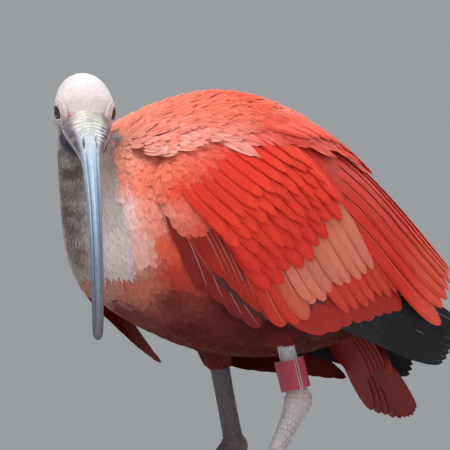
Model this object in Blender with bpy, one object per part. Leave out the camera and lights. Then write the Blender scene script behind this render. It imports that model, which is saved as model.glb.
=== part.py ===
"""Scarlet ibis standing with its neck drawn in, its wings folded low and its face turned to its left.

Metres, +Z up. The bird faces -Y and its left side is at +X. Body sizes below are in millimetres
from a working origin on the floor between the feet; one empty carries everything to the middle of
the bounding box.
"""

import math
import random

import bmesh
import bpy
from mathutils import Matrix, Vector

MM = 0.001
GAP = 0.3
MIDDLE = Vector((6.2, 46.8, 0.0))

# Trunk sections: place along Y, half width, top, widest height, bottom.
TORSO = (
    (-60, 6, 182, 176, 170),
    (-57, 24, 204, 180, 153),
    (-50, 36, 223, 184, 139),
    (-36, 45, 237, 187, 128),
    (-14, 51, 248, 187, 118),
    (12, 53, 254, 185, 110),
    (38, 53, 254, 182, 106),
    (62, 50, 247, 176, 106),
    (84, 43, 235, 170, 108),
    (102, 35, 220, 162, 112),
    (117, 27, 201, 153, 117),
    (128, 18, 183, 147, 122),
    (136, 5, 164, 143, 131),
)

# Outer surface of the folded wings: place along Y, half width, top, widest height, bottom.
WING_SHELL = (
    (-56, 46, 224, 190, 152),
    (-30, 58, 242, 188, 132),
    (0, 64, 255, 186, 110),
    (30, 66, 260, 184, 98),
    (66, 63, 254, 180, 93),
    (100, 55, 238, 171, 90),
    (134, 43, 215, 158, 87),
    (165, 33, 190, 144, 84),
    (205, 21, 156, 126, 80),
)

# Folded arm and hand: place along Y with the angles of the lower and upper edge on the shell.
WING_CORE = (
    (-42, 0, 20),
    (-36, -14, 34),
    (-26, -24, 46),
    (-10, -36, 60),
    (10, -44, 70),
    (34, -48, 78),
    (60, -46, 80),
    (84, -40, 80),
    (106, -24, 76),
)
CORE_DEEP = 13.0
RIGHT_WING_DROOP = Vector((-2, -1, -6))

# Tiers of wing feathers from the lowest layer out: count, then root, bend and tip of the first and
# of the last feather, each a place along Y and an angle on the shell, then half width and the
# height over the shell at root and tip.
WING_TIERS = {
    "primaries": (6, (44, -36), (60, -14), (110, -38), (118, -20), (184, -42), (198, -2), 7.5, -10.0, -8.0),
    "secondaries": (5, (14, -26), (60, 10), (40, -38), (90, -8), (80, -46), (136, -20), 10.5, -8.0, -5.6),
    "greater_coverts": (7, (6, -16), (48, 26), (22, -32), (66, 8), (44, -41), (94, -7), 8.6, -6.0, -2.6),
    "median_coverts": (6, (-10, -2), (40, 40), (6, -20), (56, 22), (26, -30), (76, 8), 10.0, -5.0, -0.8),
    "lesser_coverts": (5, (-24, 2), (28, 50), (-10, -8), (42, 36), (6, -18), (58, 22), 10.5, -4.5, 0.6),
    "tertials": (6, (58, 16), (64, 76), (100, 0), (108, 78), (158, -14), (184, 70), 10.5, -7.0, -1.6),
    "scapulars": (5, (-8, 54), (66, 76), (18, 54), (96, 76), (50, 42), (134, 66), 11.5, -5.0, 1.2),
}
VANE_THICKNESS = 0.7
VANE_TILT = 1.3
VANE_STEPS = (0.0, 0.35, 0.7, 0.93, 1.0)
VANE_WIDTHS = (0.5, 1.0, 1.0, 0.72, 0.25)
VANE_DRIFT = 1.2

# Neck centre line from the head down into the breast, with its radius.
NECK = (
    (-1, -61, 238, 13.5),
    (5, -66, 222, 14.5),
    (8, -66, 204, 15.5),
    (8, -62, 186, 18.0),
    (7, -56, 168, 20.0),
    (5, -51, 154, 19.0),
    (3, -46, 143, 15.0),
    (2, -43, 137, 9.0),
)
NECK_SPLIT = 202.0
NECK_BOX = (Vector((-80, -140, 100)), Vector((80, 20, 300)))

HEAD_CENTRE = Vector((6.4, -66.8, 242.5))
HEAD_YAW = math.radians(63.5)
HEAD_PITCH = math.radians(38)
# Head sections along its own forward axis: place, half width, height above, depth below.
HEAD = (
    (-25, 2.0, 2.0, 2.0),
    (-22, 8.0, 7.0, 8.0),
    (-14, 13.4, 13.5, 15.0),
    (-3, 16.2, 17.0, 18.5),
    (5, 17.3, 16.4, 18.5),
    (11, 16.0, 13.6, 17.0),
    (16, 13.0, 9.0, 14.4),
    (20, 10.2, 5.4, 11.6),
    (24, 7.6, 2.6, 8.6),
)
EYE_PLACE = (9.6, 12.3, 1.8)
EYE_OUTWARD = (3.6, 10.0, 0.8)
EYE_RADIUS = 4.9
LID_PLACE = 3.4
LID_RADIUS = 4.3
LID_THICKNESS = 0.9
# The gape across the cheek: places forward and up on the head.
GAPE = ((8, -10), (12, -8.8), (16, -7.0), (20, -4.6), (23, -3.0))
GAPE_RADIUS = 0.85

# Bill sections along its arc: place, half width, height above the mouth line, depth below it.
BILL = (
    (-8, 7.2, 10.2, 7.4),
    (0, 7.6, 10.6, 7.4),
    (8, 7.2, 9.8, 6.9),
    (20, 6.1, 7.8, 5.6),
    (38, 5.0, 6.0, 4.5),
    (60, 4.2, 4.9, 3.7),
    (88, 3.6, 4.2, 3.1),
    (116, 3.3, 3.6, 2.6),
    (138, 3.0, 2.9, 2.1),
    (149, 2.6, 2.2, 1.5),
)
BILL_ROOT = (14.0, -3.0)
BILL_LENGTH = 149.0
BILL_DROOP_START = math.radians(-5)
BILL_DROOP_END = math.radians(52)
LOWER_BILL_SHORTER = 2.0
BILL_GROOVE = 0.12
NOSTRIL_PLACES = (15, 19, 23)
NOSTRIL_OUT = 4.3
NOSTRIL_UP = 6.3

# Legs: the two ends of the feathered thigh, then the ankle and the joint of the toes.
THIGH_TOP = {"left": Vector((19, 36, 138)), "right": Vector((-19, 34, 134))}
THIGH_END = {"left": Vector((27, 57, 112)), "right": Vector((-27, 49, 100))}
ANKLE = {"left": Vector((29, 65, 80)), "right": Vector((-29, 61, 54))}
FOOT = {"left": Vector((27, 26, 8)), "right": Vector((-30, -7, 8))}
TOE_YAW = {"left": 10.0, "right": -6.0}
THIGH_RADII = (12, 11.5, 9.0, 6.2)
TIBIA_RADIUS = 4.4
ANKLE_RADIUS = 7.4
TARSUS_RADIUS = 4.6
FOOT_RADIUS = 5.0
# Toes: name, angle from straight ahead (towards the outer side), length, root radius.
TOES = (
    ("middle", 0, 62, 3.5),
    ("inner", -30, 48, 3.3),
    ("outer", 31, 52, 3.3),
    ("hind", 172, 27, 3.0),
)
TOE_REST = 2.6
TOE_FORWARD = 3.0
CLAW_LENGTH = 8.5

BAND_INNER = 7.3
BAND_WALL = 1.3
BAND_HEIGHT = 17.5
BAND_SLIT = 1.0
BAND_OPEN_AT = math.radians(62)
BAND_CLEAR = 0.4

TAIL_ROOT = Vector((0, 106, 144))
TAIL_DROP = math.radians(50)
TAIL_LENGTH = 99.0
TAIL_FAN = math.radians(12)
TAIL_VANES = 9
TAIL_VANE_HALF = 8.0
TAIL_CORE = ((-14, 14), (0, 15), (18, 11), (34, 4))

RED = (0.83, 0.07, 0.035, 1)
DEEP_RED = (0.45, 0.03, 0.025, 1)
PALE_PINK = (0.86, 0.52, 0.45, 1)
GREY_WHITE = (0.70, 0.64, 0.63, 1)
BLACK = (0.02, 0.02, 0.025, 1)
BILL_BLUE = (0.42, 0.52, 0.60, 1)
LEG_GREY = (0.58, 0.52, 0.50, 1)
BAND_RED = (0.42, 0.06, 0.10, 1)


def clear_scene():
    for thing in list(bpy.data.objects):
        bpy.data.objects.remove(thing)


def material(name, colour, roughness=0.6):
    """A plain Principled finish, made once."""
    found = bpy.data.materials.get(name)
    if found:
        return found
    made = bpy.data.materials.new(name)
    made.use_nodes = True
    shader = made.node_tree.nodes["Principled BSDF"]
    shader.inputs["Base Color"].default_value = colour
    shader.inputs["Roughness"].default_value = roughness
    shader.inputs["Metallic"].default_value = 0.0
    return made


def along(table, place):
    """The table's other columns at one place along its first, on a smooth curve."""
    place = min(max(place, table[0][0]), table[-1][0])
    k = max(i for i in range(len(table) - 1) if table[i][0] <= place)
    a, b = table[k], table[k + 1]
    before = table[max(k - 1, 0)]
    after = table[min(k + 2, len(table) - 1)]
    span = b[0] - a[0]
    t = (place - a[0]) / span
    values = []
    for column in range(1, len(a)):
        slope_a = (b[column] - before[column]) / (b[0] - before[0]) * span
        slope_b = (after[column] - a[column]) / (after[0] - a[0]) * span
        values.append(
            (2 * t**3 - 3 * t**2 + 1) * a[column]
            + (t**3 - 2 * t**2 + t) * slope_a
            + (3 * t**2 - 2 * t**3) * b[column]
            + (t**3 - t**2) * slope_b
        )
    return values


def section_point(table, place, angle, out=0.0):
    """A point on an egg-shaped trunk section: angle 0 is the left side and 90 degrees the back."""
    width, top, middle, bottom = along(table, place)
    rise = top - middle if math.sin(angle) > 0 else middle - bottom
    return Vector(((width + out) * math.cos(angle), place, middle + (rise + out) * math.sin(angle)))


def new_object(name, mesh, colour):
    made = bpy.data.objects.new(name, mesh)
    bpy.context.scene.collection.objects.link(made)
    made.data.materials.clear()
    made.data.materials.append(colour)
    return made


def loft(name, rings, colour, start_tip=None, end_tip=None):
    """A closed skin over rings of like count, with flat ends or with a point at an end. Millimetres in."""
    work = bmesh.new()
    made = [[work.verts.new(point * MM) for point in ring] for ring in rings]
    count = len(made[0])
    for ring, following in zip(made, made[1:]):
        for i in range(count):
            j = (i + 1) % count
            work.faces.new((ring[i], ring[j], following[j]))
            work.faces.new((ring[i], following[j], following[i]))
    for ring, tip in ((made[0], start_tip), (made[-1], end_tip)):
        if tip is None:
            work.faces.new(ring)
            continue
        point = work.verts.new(tip * MM)
        for i in range(count):
            work.faces.new((ring[i], ring[(i + 1) % count], point))
    bmesh.ops.recalc_face_normals(work, faces=work.faces)
    mesh = bpy.data.meshes.new(name)
    work.to_mesh(mesh)
    work.free()
    mesh.shade_smooth()
    mesh.set_sharp_from_angle(angle=math.radians(50))
    return new_object(name, mesh, colour)


def tube(name, points, radii, colour, sides=12, flatten=1.0, end_tip=None, floor=False, ends=(None, None)):
    """A round or flattened limb through points, each with its radius.

    A floor keeps it above z = 0, and ends gives the way that its first and last sections face.
    """
    rings = []
    side = None
    for i, point in enumerate(points):
        ahead = points[min(i + 1, len(points) - 1)] - points[max(i - 1, 0)]
        if i == 0 and ends[0]:
            ahead = ends[0]
        if i == len(points) - 1 and ends[1]:
            ahead = ends[1]
        ahead = ahead.normalized()
        if side is None:
            side = ahead.cross(Vector((0, -1, 0.2))).normalized()
        side = (side - ahead * side.dot(ahead)).normalized()
        other = ahead.cross(side)
        ring = []
        for k in range(sides):
            turn = 2 * math.pi * k / sides
            spot = point + radii[i] * (side * math.cos(turn) * flatten + other * math.sin(turn))
            if floor:
                spot.z = max(spot.z, 0.0)
            ring.append(spot)
        rings.append(ring)
    return loft(name, rings, colour, None, end_tip)


def ball(name, centre, radius, colour, segments=14, rings=8):
    work = bmesh.new()
    bmesh.ops.create_uvsphere(work, u_segments=segments, v_segments=rings, radius=radius * MM)
    bmesh.ops.translate(work, verts=work.verts, vec=centre * MM)
    mesh = bpy.data.meshes.new(name)
    work.to_mesh(mesh)
    work.free()
    mesh.shade_smooth()
    return new_object(name, mesh, colour)


def apply_modifiers(thing):
    graph = bpy.context.evaluated_depsgraph_get()
    graph.update()
    mesh = bpy.data.meshes.new_from_object(thing.evaluated_get(graph))
    thing.modifiers.clear()
    thing.data = mesh


def keep_largest(thing):
    """Drops loose scraps and sealed hollows, so that the node is one closed surface."""
    work = bmesh.new()
    work.from_mesh(thing.data)
    left = set(work.faces)
    islands = []
    while left:
        front = [left.pop()]
        island = set(front)
        while front:
            face = front.pop()
            near = {f for edge in face.edges for f in edge.link_faces} - island
            island |= near
            front.extend(near)
        left -= island
        islands.append(island)
    largest = max(islands, key=lambda faces: sum(face.calc_area() for face in faces))
    scraps = [face for island in islands if island is not largest for face in island]
    bmesh.ops.delete(work, geom=scraps, context="FACES")
    work.to_mesh(thing.data)
    work.free()
    thing.data.shade_smooth()
    thing.data.set_sharp_from_angle(angle=math.radians(40))


def combine(thing, pieces, operation):
    """One Boolean of a whole collection of closed pieces, applied, with the pieces then removed."""
    group = bpy.data.collections.new(thing.name + "_pieces")
    bpy.context.scene.collection.children.link(group)
    for piece in pieces:
        for owner in list(piece.users_collection):
            owner.objects.unlink(piece)
        group.objects.link(piece)
    modifier = thing.modifiers.new(operation.lower(), "BOOLEAN")
    modifier.operand_type = "COLLECTION"
    modifier.collection = group
    modifier.operation = operation
    apply_modifiers(thing)
    for piece in pieces:
        bpy.data.objects.remove(piece)
    bpy.data.collections.remove(group)
    keep_largest(thing)


def torso_body(name, grow=0.0):
    """The trunk, or a grown copy of it that cuts its neighbours clear."""
    sides = 26
    places = [-59, -55, -49, -41, -30, -16, 2, 22, 42, 60, 76, 90, 103, 115, 126, 133]
    rings = [
        [section_point(TORSO, place, 2 * math.pi * k / sides, grow) for k in range(sides)]
        for place in places
    ]
    front = Vector((0, TORSO[0][0] - grow, TORSO[0][3]))
    rear = Vector((0, TORSO[-1][0] + grow, TORSO[-1][3]))
    return loft(name, rings, material("breast_pink", PALE_PINK), front, rear)


def neck_body(name, grow=0.0):
    """The neck from the skull into the breast, or a grown copy that cuts its neighbours clear."""
    points = [Vector(row[:3]) for row in NECK]
    radii = [row[3] + grow for row in NECK]
    fine_points, fine_radii = [], []
    steps = 3
    for i in range(len(points) - 1):
        for step in range(steps):
            t = i + step / steps
            spot = along([(k, *points[k], radii[k]) for k in range(len(points))], t)
            fine_points.append(Vector(spot[:3]))
            fine_radii.append(spot[3])
    fine_points.append(points[-1])
    fine_radii.append(radii[-1])
    fine_points[0] += (fine_points[0] - fine_points[1]).normalized() * grow
    fine_points[-1] += (fine_points[-1] - fine_points[-2]).normalized() * grow
    return tube(name, fine_points, fine_radii, material("neck_grey", GREY_WHITE), sides=18)


def head_axes():
    level = Vector((math.sin(HEAD_YAW), -math.cos(HEAD_YAW), 0))
    ahead = level * math.cos(HEAD_PITCH) - Vector((0, 0, math.sin(HEAD_PITCH)))
    side = Vector((0, 0, 1)).cross(level)
    return ahead, side, ahead.cross(side)


def on_head(ahead, side, up):
    """A point given along the head's own forward, left and upward axes."""
    forward_axis, side_axis, up_axis = head_axes()
    return HEAD_CENTRE + forward_axis * ahead + side_axis * side + up_axis * up


def head_body(name, grow=0.0):
    """The skull, or a grown copy that cuts the bill clear of it."""
    sides = 24
    places = [-23.5, -20, -15, -9, -3, 3, 7, 11, 14.5, 18, 21, 23.5]
    rings = []
    for place in places:
        width, above, below = along(HEAD, place)
        ring = []
        for k in range(sides):
            turn = 2 * math.pi * k / sides
            height = above if math.sin(turn) > 0 else below
            ring.append(on_head(place, (width + grow) * math.cos(turn), (height + grow) * math.sin(turn)))
        rings.append(ring)
    return loft(
        name,
        rings,
        material("head_grey", GREY_WHITE),
        on_head(HEAD[0][0] - grow, 0, 0),
        on_head(HEAD[-1][0] + grow, 0, -2.5),
    )


def on_head_side(ahead, up, sign):
    """A point on the cheek's surface, given along the head's forward and upward axes."""
    width, above, below = along(HEAD, ahead)
    share = up / (above if up > 0 else below)
    return on_head(ahead, sign * width * math.sqrt(1 - share * share), up)


def eye_centre(sign):
    ahead, side, up = EYE_PLACE
    return on_head(ahead, sign * side, up)


def lid_ring(sign, colour):
    """The raised rim of the lids round one eye."""
    bpy.ops.mesh.primitive_torus_add(
        major_radius=LID_RADIUS * MM,
        minor_radius=LID_THICKNESS * MM,
        major_segments=18,
        minor_segments=6,
    )
    lid = bpy.context.object
    lid.data.materials.append(colour)
    ahead, side, up = EYE_OUTWARD
    outward = (on_head(ahead, sign * side, up) - HEAD_CENTRE).normalized()
    turn = outward.to_track_quat("Z", "Y").to_matrix().to_4x4()
    lid.data.transform(Matrix.Translation((eye_centre(sign) + outward * LID_PLACE) * MM) @ turn)
    return lid


def build_head():
    head = head_body("head")
    skin = head.data.materials[0]
    combine(head, [lid_ring(sign, skin) for sign in (1, -1)], "UNION")
    cutters = [neck_body("neck_cutter", GAP)]
    for sign in (1, -1):
        corner = [on_head_side(ahead, up, sign) for ahead, up in GAPE]
        cutters.append(tube("gape", corner, [GAPE_RADIUS] * len(corner), skin, sides=6))
        cutters.append(ball("socket", eye_centre(sign), EYE_RADIUS + GAP, skin))
    combine(head, cutters, "DIFFERENCE")
    for sign, side in ((1, "left"), (-1, "right")):
        ball("eye_" + side, eye_centre(sign), EYE_RADIUS, material("eye_black", BLACK, 0.05))


def bill_arc(place):
    """Where the mouth line is at a length along the bill, with its upward axis there."""
    ahead_axis, _, up_axis = head_axes()
    spot = on_head(BILL_ROOT[0], 0, BILL_ROOT[1])
    steps = 40
    step = place / steps
    angle = BILL_DROOP_START
    for k in range(steps):
        share = max((k + 0.5) * step, 0.0) / BILL_LENGTH
        angle = BILL_DROOP_START + (BILL_DROOP_END - BILL_DROOP_START) * share**1.15
        spot = spot + (ahead_axis * math.cos(angle) - up_axis * math.sin(angle)) * step
    return spot, ahead_axis * math.sin(angle) + up_axis * math.cos(angle)


def half_bill(name, upper, length):
    """One mandible: flat at the mouth line, rounded outside, the upper one with a groove each side."""
    _, side_axis, _ = head_axes()
    count = 10
    rings = []
    for place in (-8, 0, 7, 15, 26, 40, 57, 76, 95, 114, 132, length - 5):
        width, above, below = along(BILL, place)
        spot, up = bill_arc(place)
        ring = []
        for k in range(count + 1):
            turn = math.pi * k / count
            if upper:
                groove = 1 - BILL_GROOVE * math.exp(-(((k - count / 2) ** 2 - 6) ** 2) / 8)
                across = width * groove * math.cos(turn)
                rise = above * groove * math.sin(turn) ** 0.9 + GAP / 2
            else:
                across = width * 0.94 * math.cos(turn)
                rise = -below * math.sin(turn) - GAP / 2
            ring.append(spot + side_axis * across + up * rise)
        rings.append(ring)
    spot, up = bill_arc(length)
    tip = spot + up * (1.2 if upper else -0.8)
    return loft(name, rings, material("bill_blue", BILL_BLUE, 0.35), None, tip)


def build_bill():
    upper = half_bill("bill_upper", True, BILL_LENGTH)
    lower = half_bill("bill_lower", False, BILL_LENGTH - LOWER_BILL_SHORTER)
    _, side_axis, _ = head_axes()
    nostrils = []
    for sign in (1, -1):
        points = []
        for place in NOSTRIL_PLACES:
            spot, up = bill_arc(place)
            points.append(spot + side_axis * sign * NOSTRIL_OUT + up * NOSTRIL_UP)
        nostrils.append(tube("nostril", points, (0.7, 1.0, 0.7), upper.data.materials[0], sides=8))
    combine(upper, nostrils, "DIFFERENCE")
    for mandible in (upper, lower):
        combine(mandible, [head_body("head_cutter", GAP)], "DIFFERENCE")
        combine(mandible, [neck_body("neck_cutter", GAP)], "DIFFERENCE")


def build_torso_and_neck():
    torso = torso_body("torso")
    combine(torso, [neck_body("neck_cutter", GAP)], "DIFFERENCE")
    parted = NECK_SPLIT - GAP / 2
    low, high = NECK_BOX
    for name, floor, ceiling in (("neck_upper", parted + GAP, high.z), ("neck_lower", low.z, parted)):
        neck = neck_body(name)
        keep = box_between(Vector((low.x, low.y, floor)), Vector((high.x, high.y, ceiling)))
        combine(neck, [keep], "INTERSECT")


def box_between(low, high):
    work = bmesh.new()
    bmesh.ops.create_cube(work, size=1.0)
    size = high - low
    bmesh.ops.scale(work, verts=work.verts, vec=size * MM)
    bmesh.ops.translate(work, verts=work.verts, vec=(low + high) / 2 * MM)
    mesh = bpy.data.meshes.new("box")
    work.to_mesh(mesh)
    work.free()
    return new_object("box", mesh, material("neck_grey", GREY_WHITE))


def thigh_body(side, grow=0.0):
    """The feathered upper leg, or a grown copy that cuts the wing clear of it."""
    top, end = THIGH_TOP[side], THIGH_END[side]
    down = (ANKLE[side] - end).normalized()
    middle = (top + end) / 2 + Vector((0, -1, 0))
    return tube(
        "thigh_" + side,
        [top, middle, end + (middle - end) * 0.35, end + down * grow],
        [radius + grow for radius in THIGH_RADII],
        material("thigh_red", DEEP_RED),
        sides=20,
        ends=(None, down),
    )


def build_leg(side):
    """The feathered thigh, the bare shank and the shin with its ankle, end to end."""
    skin = material("leg_grey", LEG_GREY, 0.5)
    end, ankle, foot = THIGH_END[side], ANKLE[side], FOOT[side]
    down = (ankle - end).normalized()
    shin = (foot - ankle).normalized()
    combine(thigh_body(side), [torso_body("torso_cutter", GAP)], "DIFFERENCE")
    shank_start = end + down * GAP
    shank_end = ankle - down * (ANKLE_RADIUS - 0.6)
    points = [shank_start.lerp(shank_end, t) for t in (0, 0.4, 0.8, 1)]
    radii = [TIBIA_RADIUS + swell for swell in (0.6, 0, 0.2, 0.8)]
    shank = tube("tibia_" + side, points, radii, skin, sides=16)
    combine(shank, [torso_body("torso_cutter", GAP)], "DIFFERENCE")
    points = [
        shank_end + down * GAP,
        ankle - down * 3.5,
        ankle + (shin - down) * 0.8,
        ankle + shin * 7,
        ankle + shin * 14,
        ankle.lerp(foot, 0.35),
        ankle.lerp(foot, 0.7),
        ankle.lerp(foot, 0.93),
    ]
    radii = [
        TIBIA_RADIUS + 1.0,
        ANKLE_RADIUS - 0.6,
        ANKLE_RADIUS,
        ANKLE_RADIUS - 1.2,
        TARSUS_RADIUS + 0.7,
        TARSUS_RADIUS,
        TARSUS_RADIUS - 0.5,
        TARSUS_RADIUS,
    ]
    tube("tarsus_" + side, points, radii, skin, sides=16, flatten=0.86)


def foot_joint(side, grow=0.0):
    """The knuckle at the lower end of the shin, or a grown copy that cuts the toes clear of it."""
    foot = FOOT[side]
    shin = (foot - ANKLE[side]).normalized()
    join = ANKLE[side].lerp(foot, 0.93) + shin * GAP
    points = [
        join - shin * grow,
        join + shin,
        foot + Vector((0, -1, -1.0)),
        foot + Vector((0, -TOE_FORWARD, -4.0)),
        foot + Vector((0, -TOE_FORWARD, 0.4 - foot.z - grow)),
    ]
    plain = (TARSUS_RADIUS, TARSUS_RADIUS, FOOT_RADIUS, FOOT_RADIUS + 0.4, FOOT_RADIUS - 0.2)
    radii = [radius + grow for radius in plain]
    return tube("foot_" + side, points, radii, material("leg_grey", LEG_GREY, 0.5), sides=16, floor=not grow)


def toe_line(side, angle, length):
    """A toe's centre line from the foot's joint outward, sloping down to lie on the floor."""
    outward = 1 if side == "left" else -1
    yaw = math.radians(TOE_YAW[side]) + outward * math.radians(angle)
    direction = Vector((math.sin(yaw), -math.cos(yaw), 0))
    foot = FOOT[side] + Vector((0, -TOE_FORWARD, 0))
    points = []
    for place in (0.0, 0.16, 0.34, 0.5, 0.56, 0.72, 0.78, 0.94, 1.0):
        height = TOE_REST + (foot.z - 3.0 - TOE_REST) * max(0.0, 1 - place / 0.3) ** 1.5
        spot = foot + direction * length * place
        points.append(Vector((spot.x, spot.y, height)))
    return points, direction


def toe_body(name, side, angle, length, radius, grow=0.0):
    """A toe with its knuckles, or a grown copy that cuts the next toe clear of it."""
    points, _ = toe_line(side, angle, length)
    radii = [radius * swell + grow for swell in (1.15, 1.0, 0.92, 1.05, 1.05, 0.88, 0.92, 0.72, 0.5)]
    return tube(name, points, radii, material("leg_grey", LEG_GREY, 0.5), sides=8, floor=not grow)


def build_claw(name, points, direction, radius):
    tip = points[-1]
    spine = [
        tip + direction * GAP,
        tip + direction * (CLAW_LENGTH * 0.4) + Vector((0, 0, 0.3)),
        tip + direction * (CLAW_LENGTH * 0.75) + Vector((0, 0, -0.5)),
    ]
    point = tip + direction * CLAW_LENGTH + Vector((0, 0, 0.35 - tip.z))
    radii = (radius * 0.47, radius * 0.42, radius * 0.26)
    tube(name, spine, radii, material("claw_dark", BLACK, 0.3), sides=8, end_tip=point, floor=True)


def build_foot(side):
    foot_joint(side)
    done = []
    for name, angle, length, radius in TOES:
        toe = toe_body(f"toe_{name}_{side}", side, angle, length, radius)
        clear = [toe_body("toe_cutter", side, *other, grow=GAP) for other in done]
        combine(toe, [foot_joint(side, GAP)] + clear, "DIFFERENCE")
        done.append((angle, length, radius))
        points, direction = toe_line(side, angle, length)
        build_claw(f"claw_{name}_{side}", points, direction, radius)


def build_band():
    """A split leg ring resting on the left ankle."""
    down = (ANKLE["left"] - THIGH_END["left"]).normalized()
    side = down.cross(Vector((0, 1, 0))).normalized()
    back = side.cross(down)
    bottom = ANKLE["left"] - down * (ANKLE_RADIUS - 0.6)
    steps = 30
    rings = []
    half_slit = BAND_SLIT / BAND_INNER / 2
    for k in range(steps + 1):
        turn = BAND_OPEN_AT + half_slit + (2 * math.pi - 2 * half_slit) * k / steps
        spoke = side * math.cos(turn) + back * math.sin(turn)
        ring = []
        for wall, height in ((0, 0), (BAND_WALL, 0), (BAND_WALL, BAND_HEIGHT), (0, BAND_HEIGHT)):
            ring.append(bottom - down * (BAND_CLEAR + height) + spoke * (BAND_INNER + wall))
        rings.append(ring)
    loft("leg_band", rings, material("band_red", BAND_RED, 0.45))


def vane(points, across, normals, half_width, tilt):
    """A flat feather vane: a four-cornered section carried along points, narrowed to a rounded tip.

    The lower face's diagonals follow the upper one's, so that the thin vane never folds through itself.
    """
    rings = []
    for point, side, normal, width in zip(points, across, normals, VANE_WIDTHS):
        reach = side * (half_width * width)
        lean = normal * (tilt * width)
        half = normal * (VANE_THICKNESS / 2)
        rings.append([
            point - reach - lean - half,
            point + reach + lean - half,
            point + reach + lean + half,
            point - reach - lean + half,
        ])
    work = bmesh.new()
    made = [[work.verts.new(corner * MM) for corner in ring] for ring in rings]
    for ring, following in zip(made, made[1:]):
        for i in range(4):
            j = (i + 1) % 4
            a, b, c, d = ring[i], ring[j], following[j], following[i]
            if i == 0:
                work.faces.new((a, b, d))
                work.faces.new((b, c, d))
            else:
                work.faces.new((a, b, c))
                work.faces.new((a, c, d))
    work.faces.new(made[0])
    work.faces.new(made[-1])
    bmesh.ops.recalc_face_normals(work, faces=work.faces)
    mesh = bpy.data.meshes.new("vane")
    work.to_mesh(mesh)
    work.free()
    return new_object("vane", mesh, material("wing_red", RED))


def shell_point(place, angle, out):
    return section_point(WING_SHELL, place, angle, out)


def wing_vane(root, bend, tip, half_width, lift_root, lift_tip):
    """A vane on the wing's outer surface. Root, bend and tip are a place and an angle in degrees."""
    small = 0.01

    def spot(t):
        weights = ((1 - t) ** 2, 2 * t * (1 - t), t**2)
        place, angle = [sum(w * end[i] for w, end in zip(weights, (root, bend, tip))) for i in (0, 1)]
        return place, math.radians(angle), lift_root + (lift_tip - lift_root) * t

    points, across, normals = [], [], []
    for t in VANE_STEPS:
        place, angle, out = spot(t)
        here = shell_point(place, angle, out)
        ahead = shell_point(*spot(t + small)) - shell_point(*spot(t - small))
        around = shell_point(place, angle + small, out) - here
        normal = (shell_point(place + small, angle, out) - here).cross(around).normalized()
        points.append(here)
        normals.append(normal)
        across.append(normal.cross(ahead.normalized()).normalized())
    return vane(points, across, normals, half_width, VANE_TILT)


def wing_core():
    """The folded arm and hand: a shell with rounded edges over the trunk's side."""
    across_count = 8
    places = (-42, -38, -31, -20, -5, 14, 34, 54, 74, 92, 102, 106)
    rings = []
    for place in places:
        low, high = along(WING_CORE, place)
        end = min(place - places[0], places[-1] - place)
        fullness = min(1.0, (end + 2.0) / 14.0) ** 0.5
        outer, inner = [], []
        for k in range(across_count + 1):
            share = k / across_count
            angle = math.radians(low + (high - low) * share)
            edge = max(0.0, 1 - abs(2 * share - 1) ** 4) ** 0.5
            depth = 1.2 + (CORE_DEEP - 4.0) * fullness * edge
            middle = -3.0 - CORE_DEEP / 2 * (1 - fullness * 0.6)
            outer.append(shell_point(place, angle, middle + 1.5 * fullness * edge))
            inner.append(shell_point(place, angle, middle - depth))
        rings.append(outer + inner[::-1])
    return loft("wing_core", rings, material("wing_red", RED))


def mix(a, b, t):
    return tuple(x + (y - x) * t for x, y in zip(a, b))


def wing_vanes():
    """Every tier of wing feathers, each feather a little unlike its neighbours."""
    draw = random.Random(5)
    vanes = []
    for count, *ends, half_width, low, high in WING_TIERS.values():
        for k in range(count):
            t = k / (count - 1)
            root, bend, tip = [mix(ends[i], ends[i + 1], t) for i in (0, 2, 4)]
            tip = (tip[0] + draw.uniform(-VANE_DRIFT, VANE_DRIFT), tip[1])
            width = half_width * draw.uniform(0.96, 1.04)
            vanes.append(wing_vane(root, bend, tip, width, low, high))
    return vanes


def mirror_copy(thing, name, shift):
    """The same piece on the bird's right side, moved by a shift."""
    mesh = thing.data.copy()
    work = bmesh.new()
    work.from_mesh(mesh)
    bmesh.ops.scale(work, verts=work.verts, vec=(-1, 1, 1))
    bmesh.ops.translate(work, verts=work.verts, vec=shift * MM)
    bmesh.ops.reverse_faces(work, faces=work.faces)
    work.to_mesh(mesh)
    work.free()
    mesh.name = name
    return new_object(name, mesh, thing.data.materials[0])


def build_wings():
    wing = wing_core()
    wing.name = "wing_left"
    combine(wing, wing_vanes(), "UNION")
    other = mirror_copy(wing, "wing_right", RIGHT_WING_DROOP)
    for side, folded in (("left", wing), ("right", other)):
        combine(folded, [torso_body("torso_cutter", GAP)], "DIFFERENCE")
        combine(folded, [thigh_body(side, GAP)], "DIFFERENCE")


def build_tail():
    """Tail feathers fanned from the rump, the middle one on top."""
    draw = random.Random(8)
    down = Vector((0, math.cos(TAIL_DROP), -math.sin(TAIL_DROP)))
    face = Vector((0, math.sin(TAIL_DROP), math.cos(TAIL_DROP)))
    points = [TAIL_ROOT + down * place for place, _ in TAIL_CORE]
    radii = [radius for _, radius in TAIL_CORE]
    tail = tube("tail", points, radii, material("tail_red", DEEP_RED), sides=18)
    vanes = []
    for k in range(TAIL_VANES):
        share = 2 * k / (TAIL_VANES - 1) - 1
        angle = TAIL_FAN * share
        ahead = down * math.cos(angle) + Vector((math.sin(angle), 0, 0))
        side = face.cross(ahead).normalized()
        lift = 2.2 * (1 - abs(share)) - 1.5
        start = TAIL_ROOT - down * 4 + Vector((3 * share, 0, 0)) + face * lift
        length = TAIL_LENGTH * (1 - 0.07 * share**2) * draw.uniform(0.985, 1.015)
        points = [start + ahead * length * t - face * (3.0 * t * t) for t in VANE_STEPS]
        count = len(points)
        tilt = math.copysign(0.35, share)
        vanes.append(vane(points, [side] * count, [face] * count, TAIL_VANE_HALF, tilt))
    combine(tail, vanes, "UNION")
    combine(tail, [torso_body("torso_cutter", GAP)], "DIFFERENCE")


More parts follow.
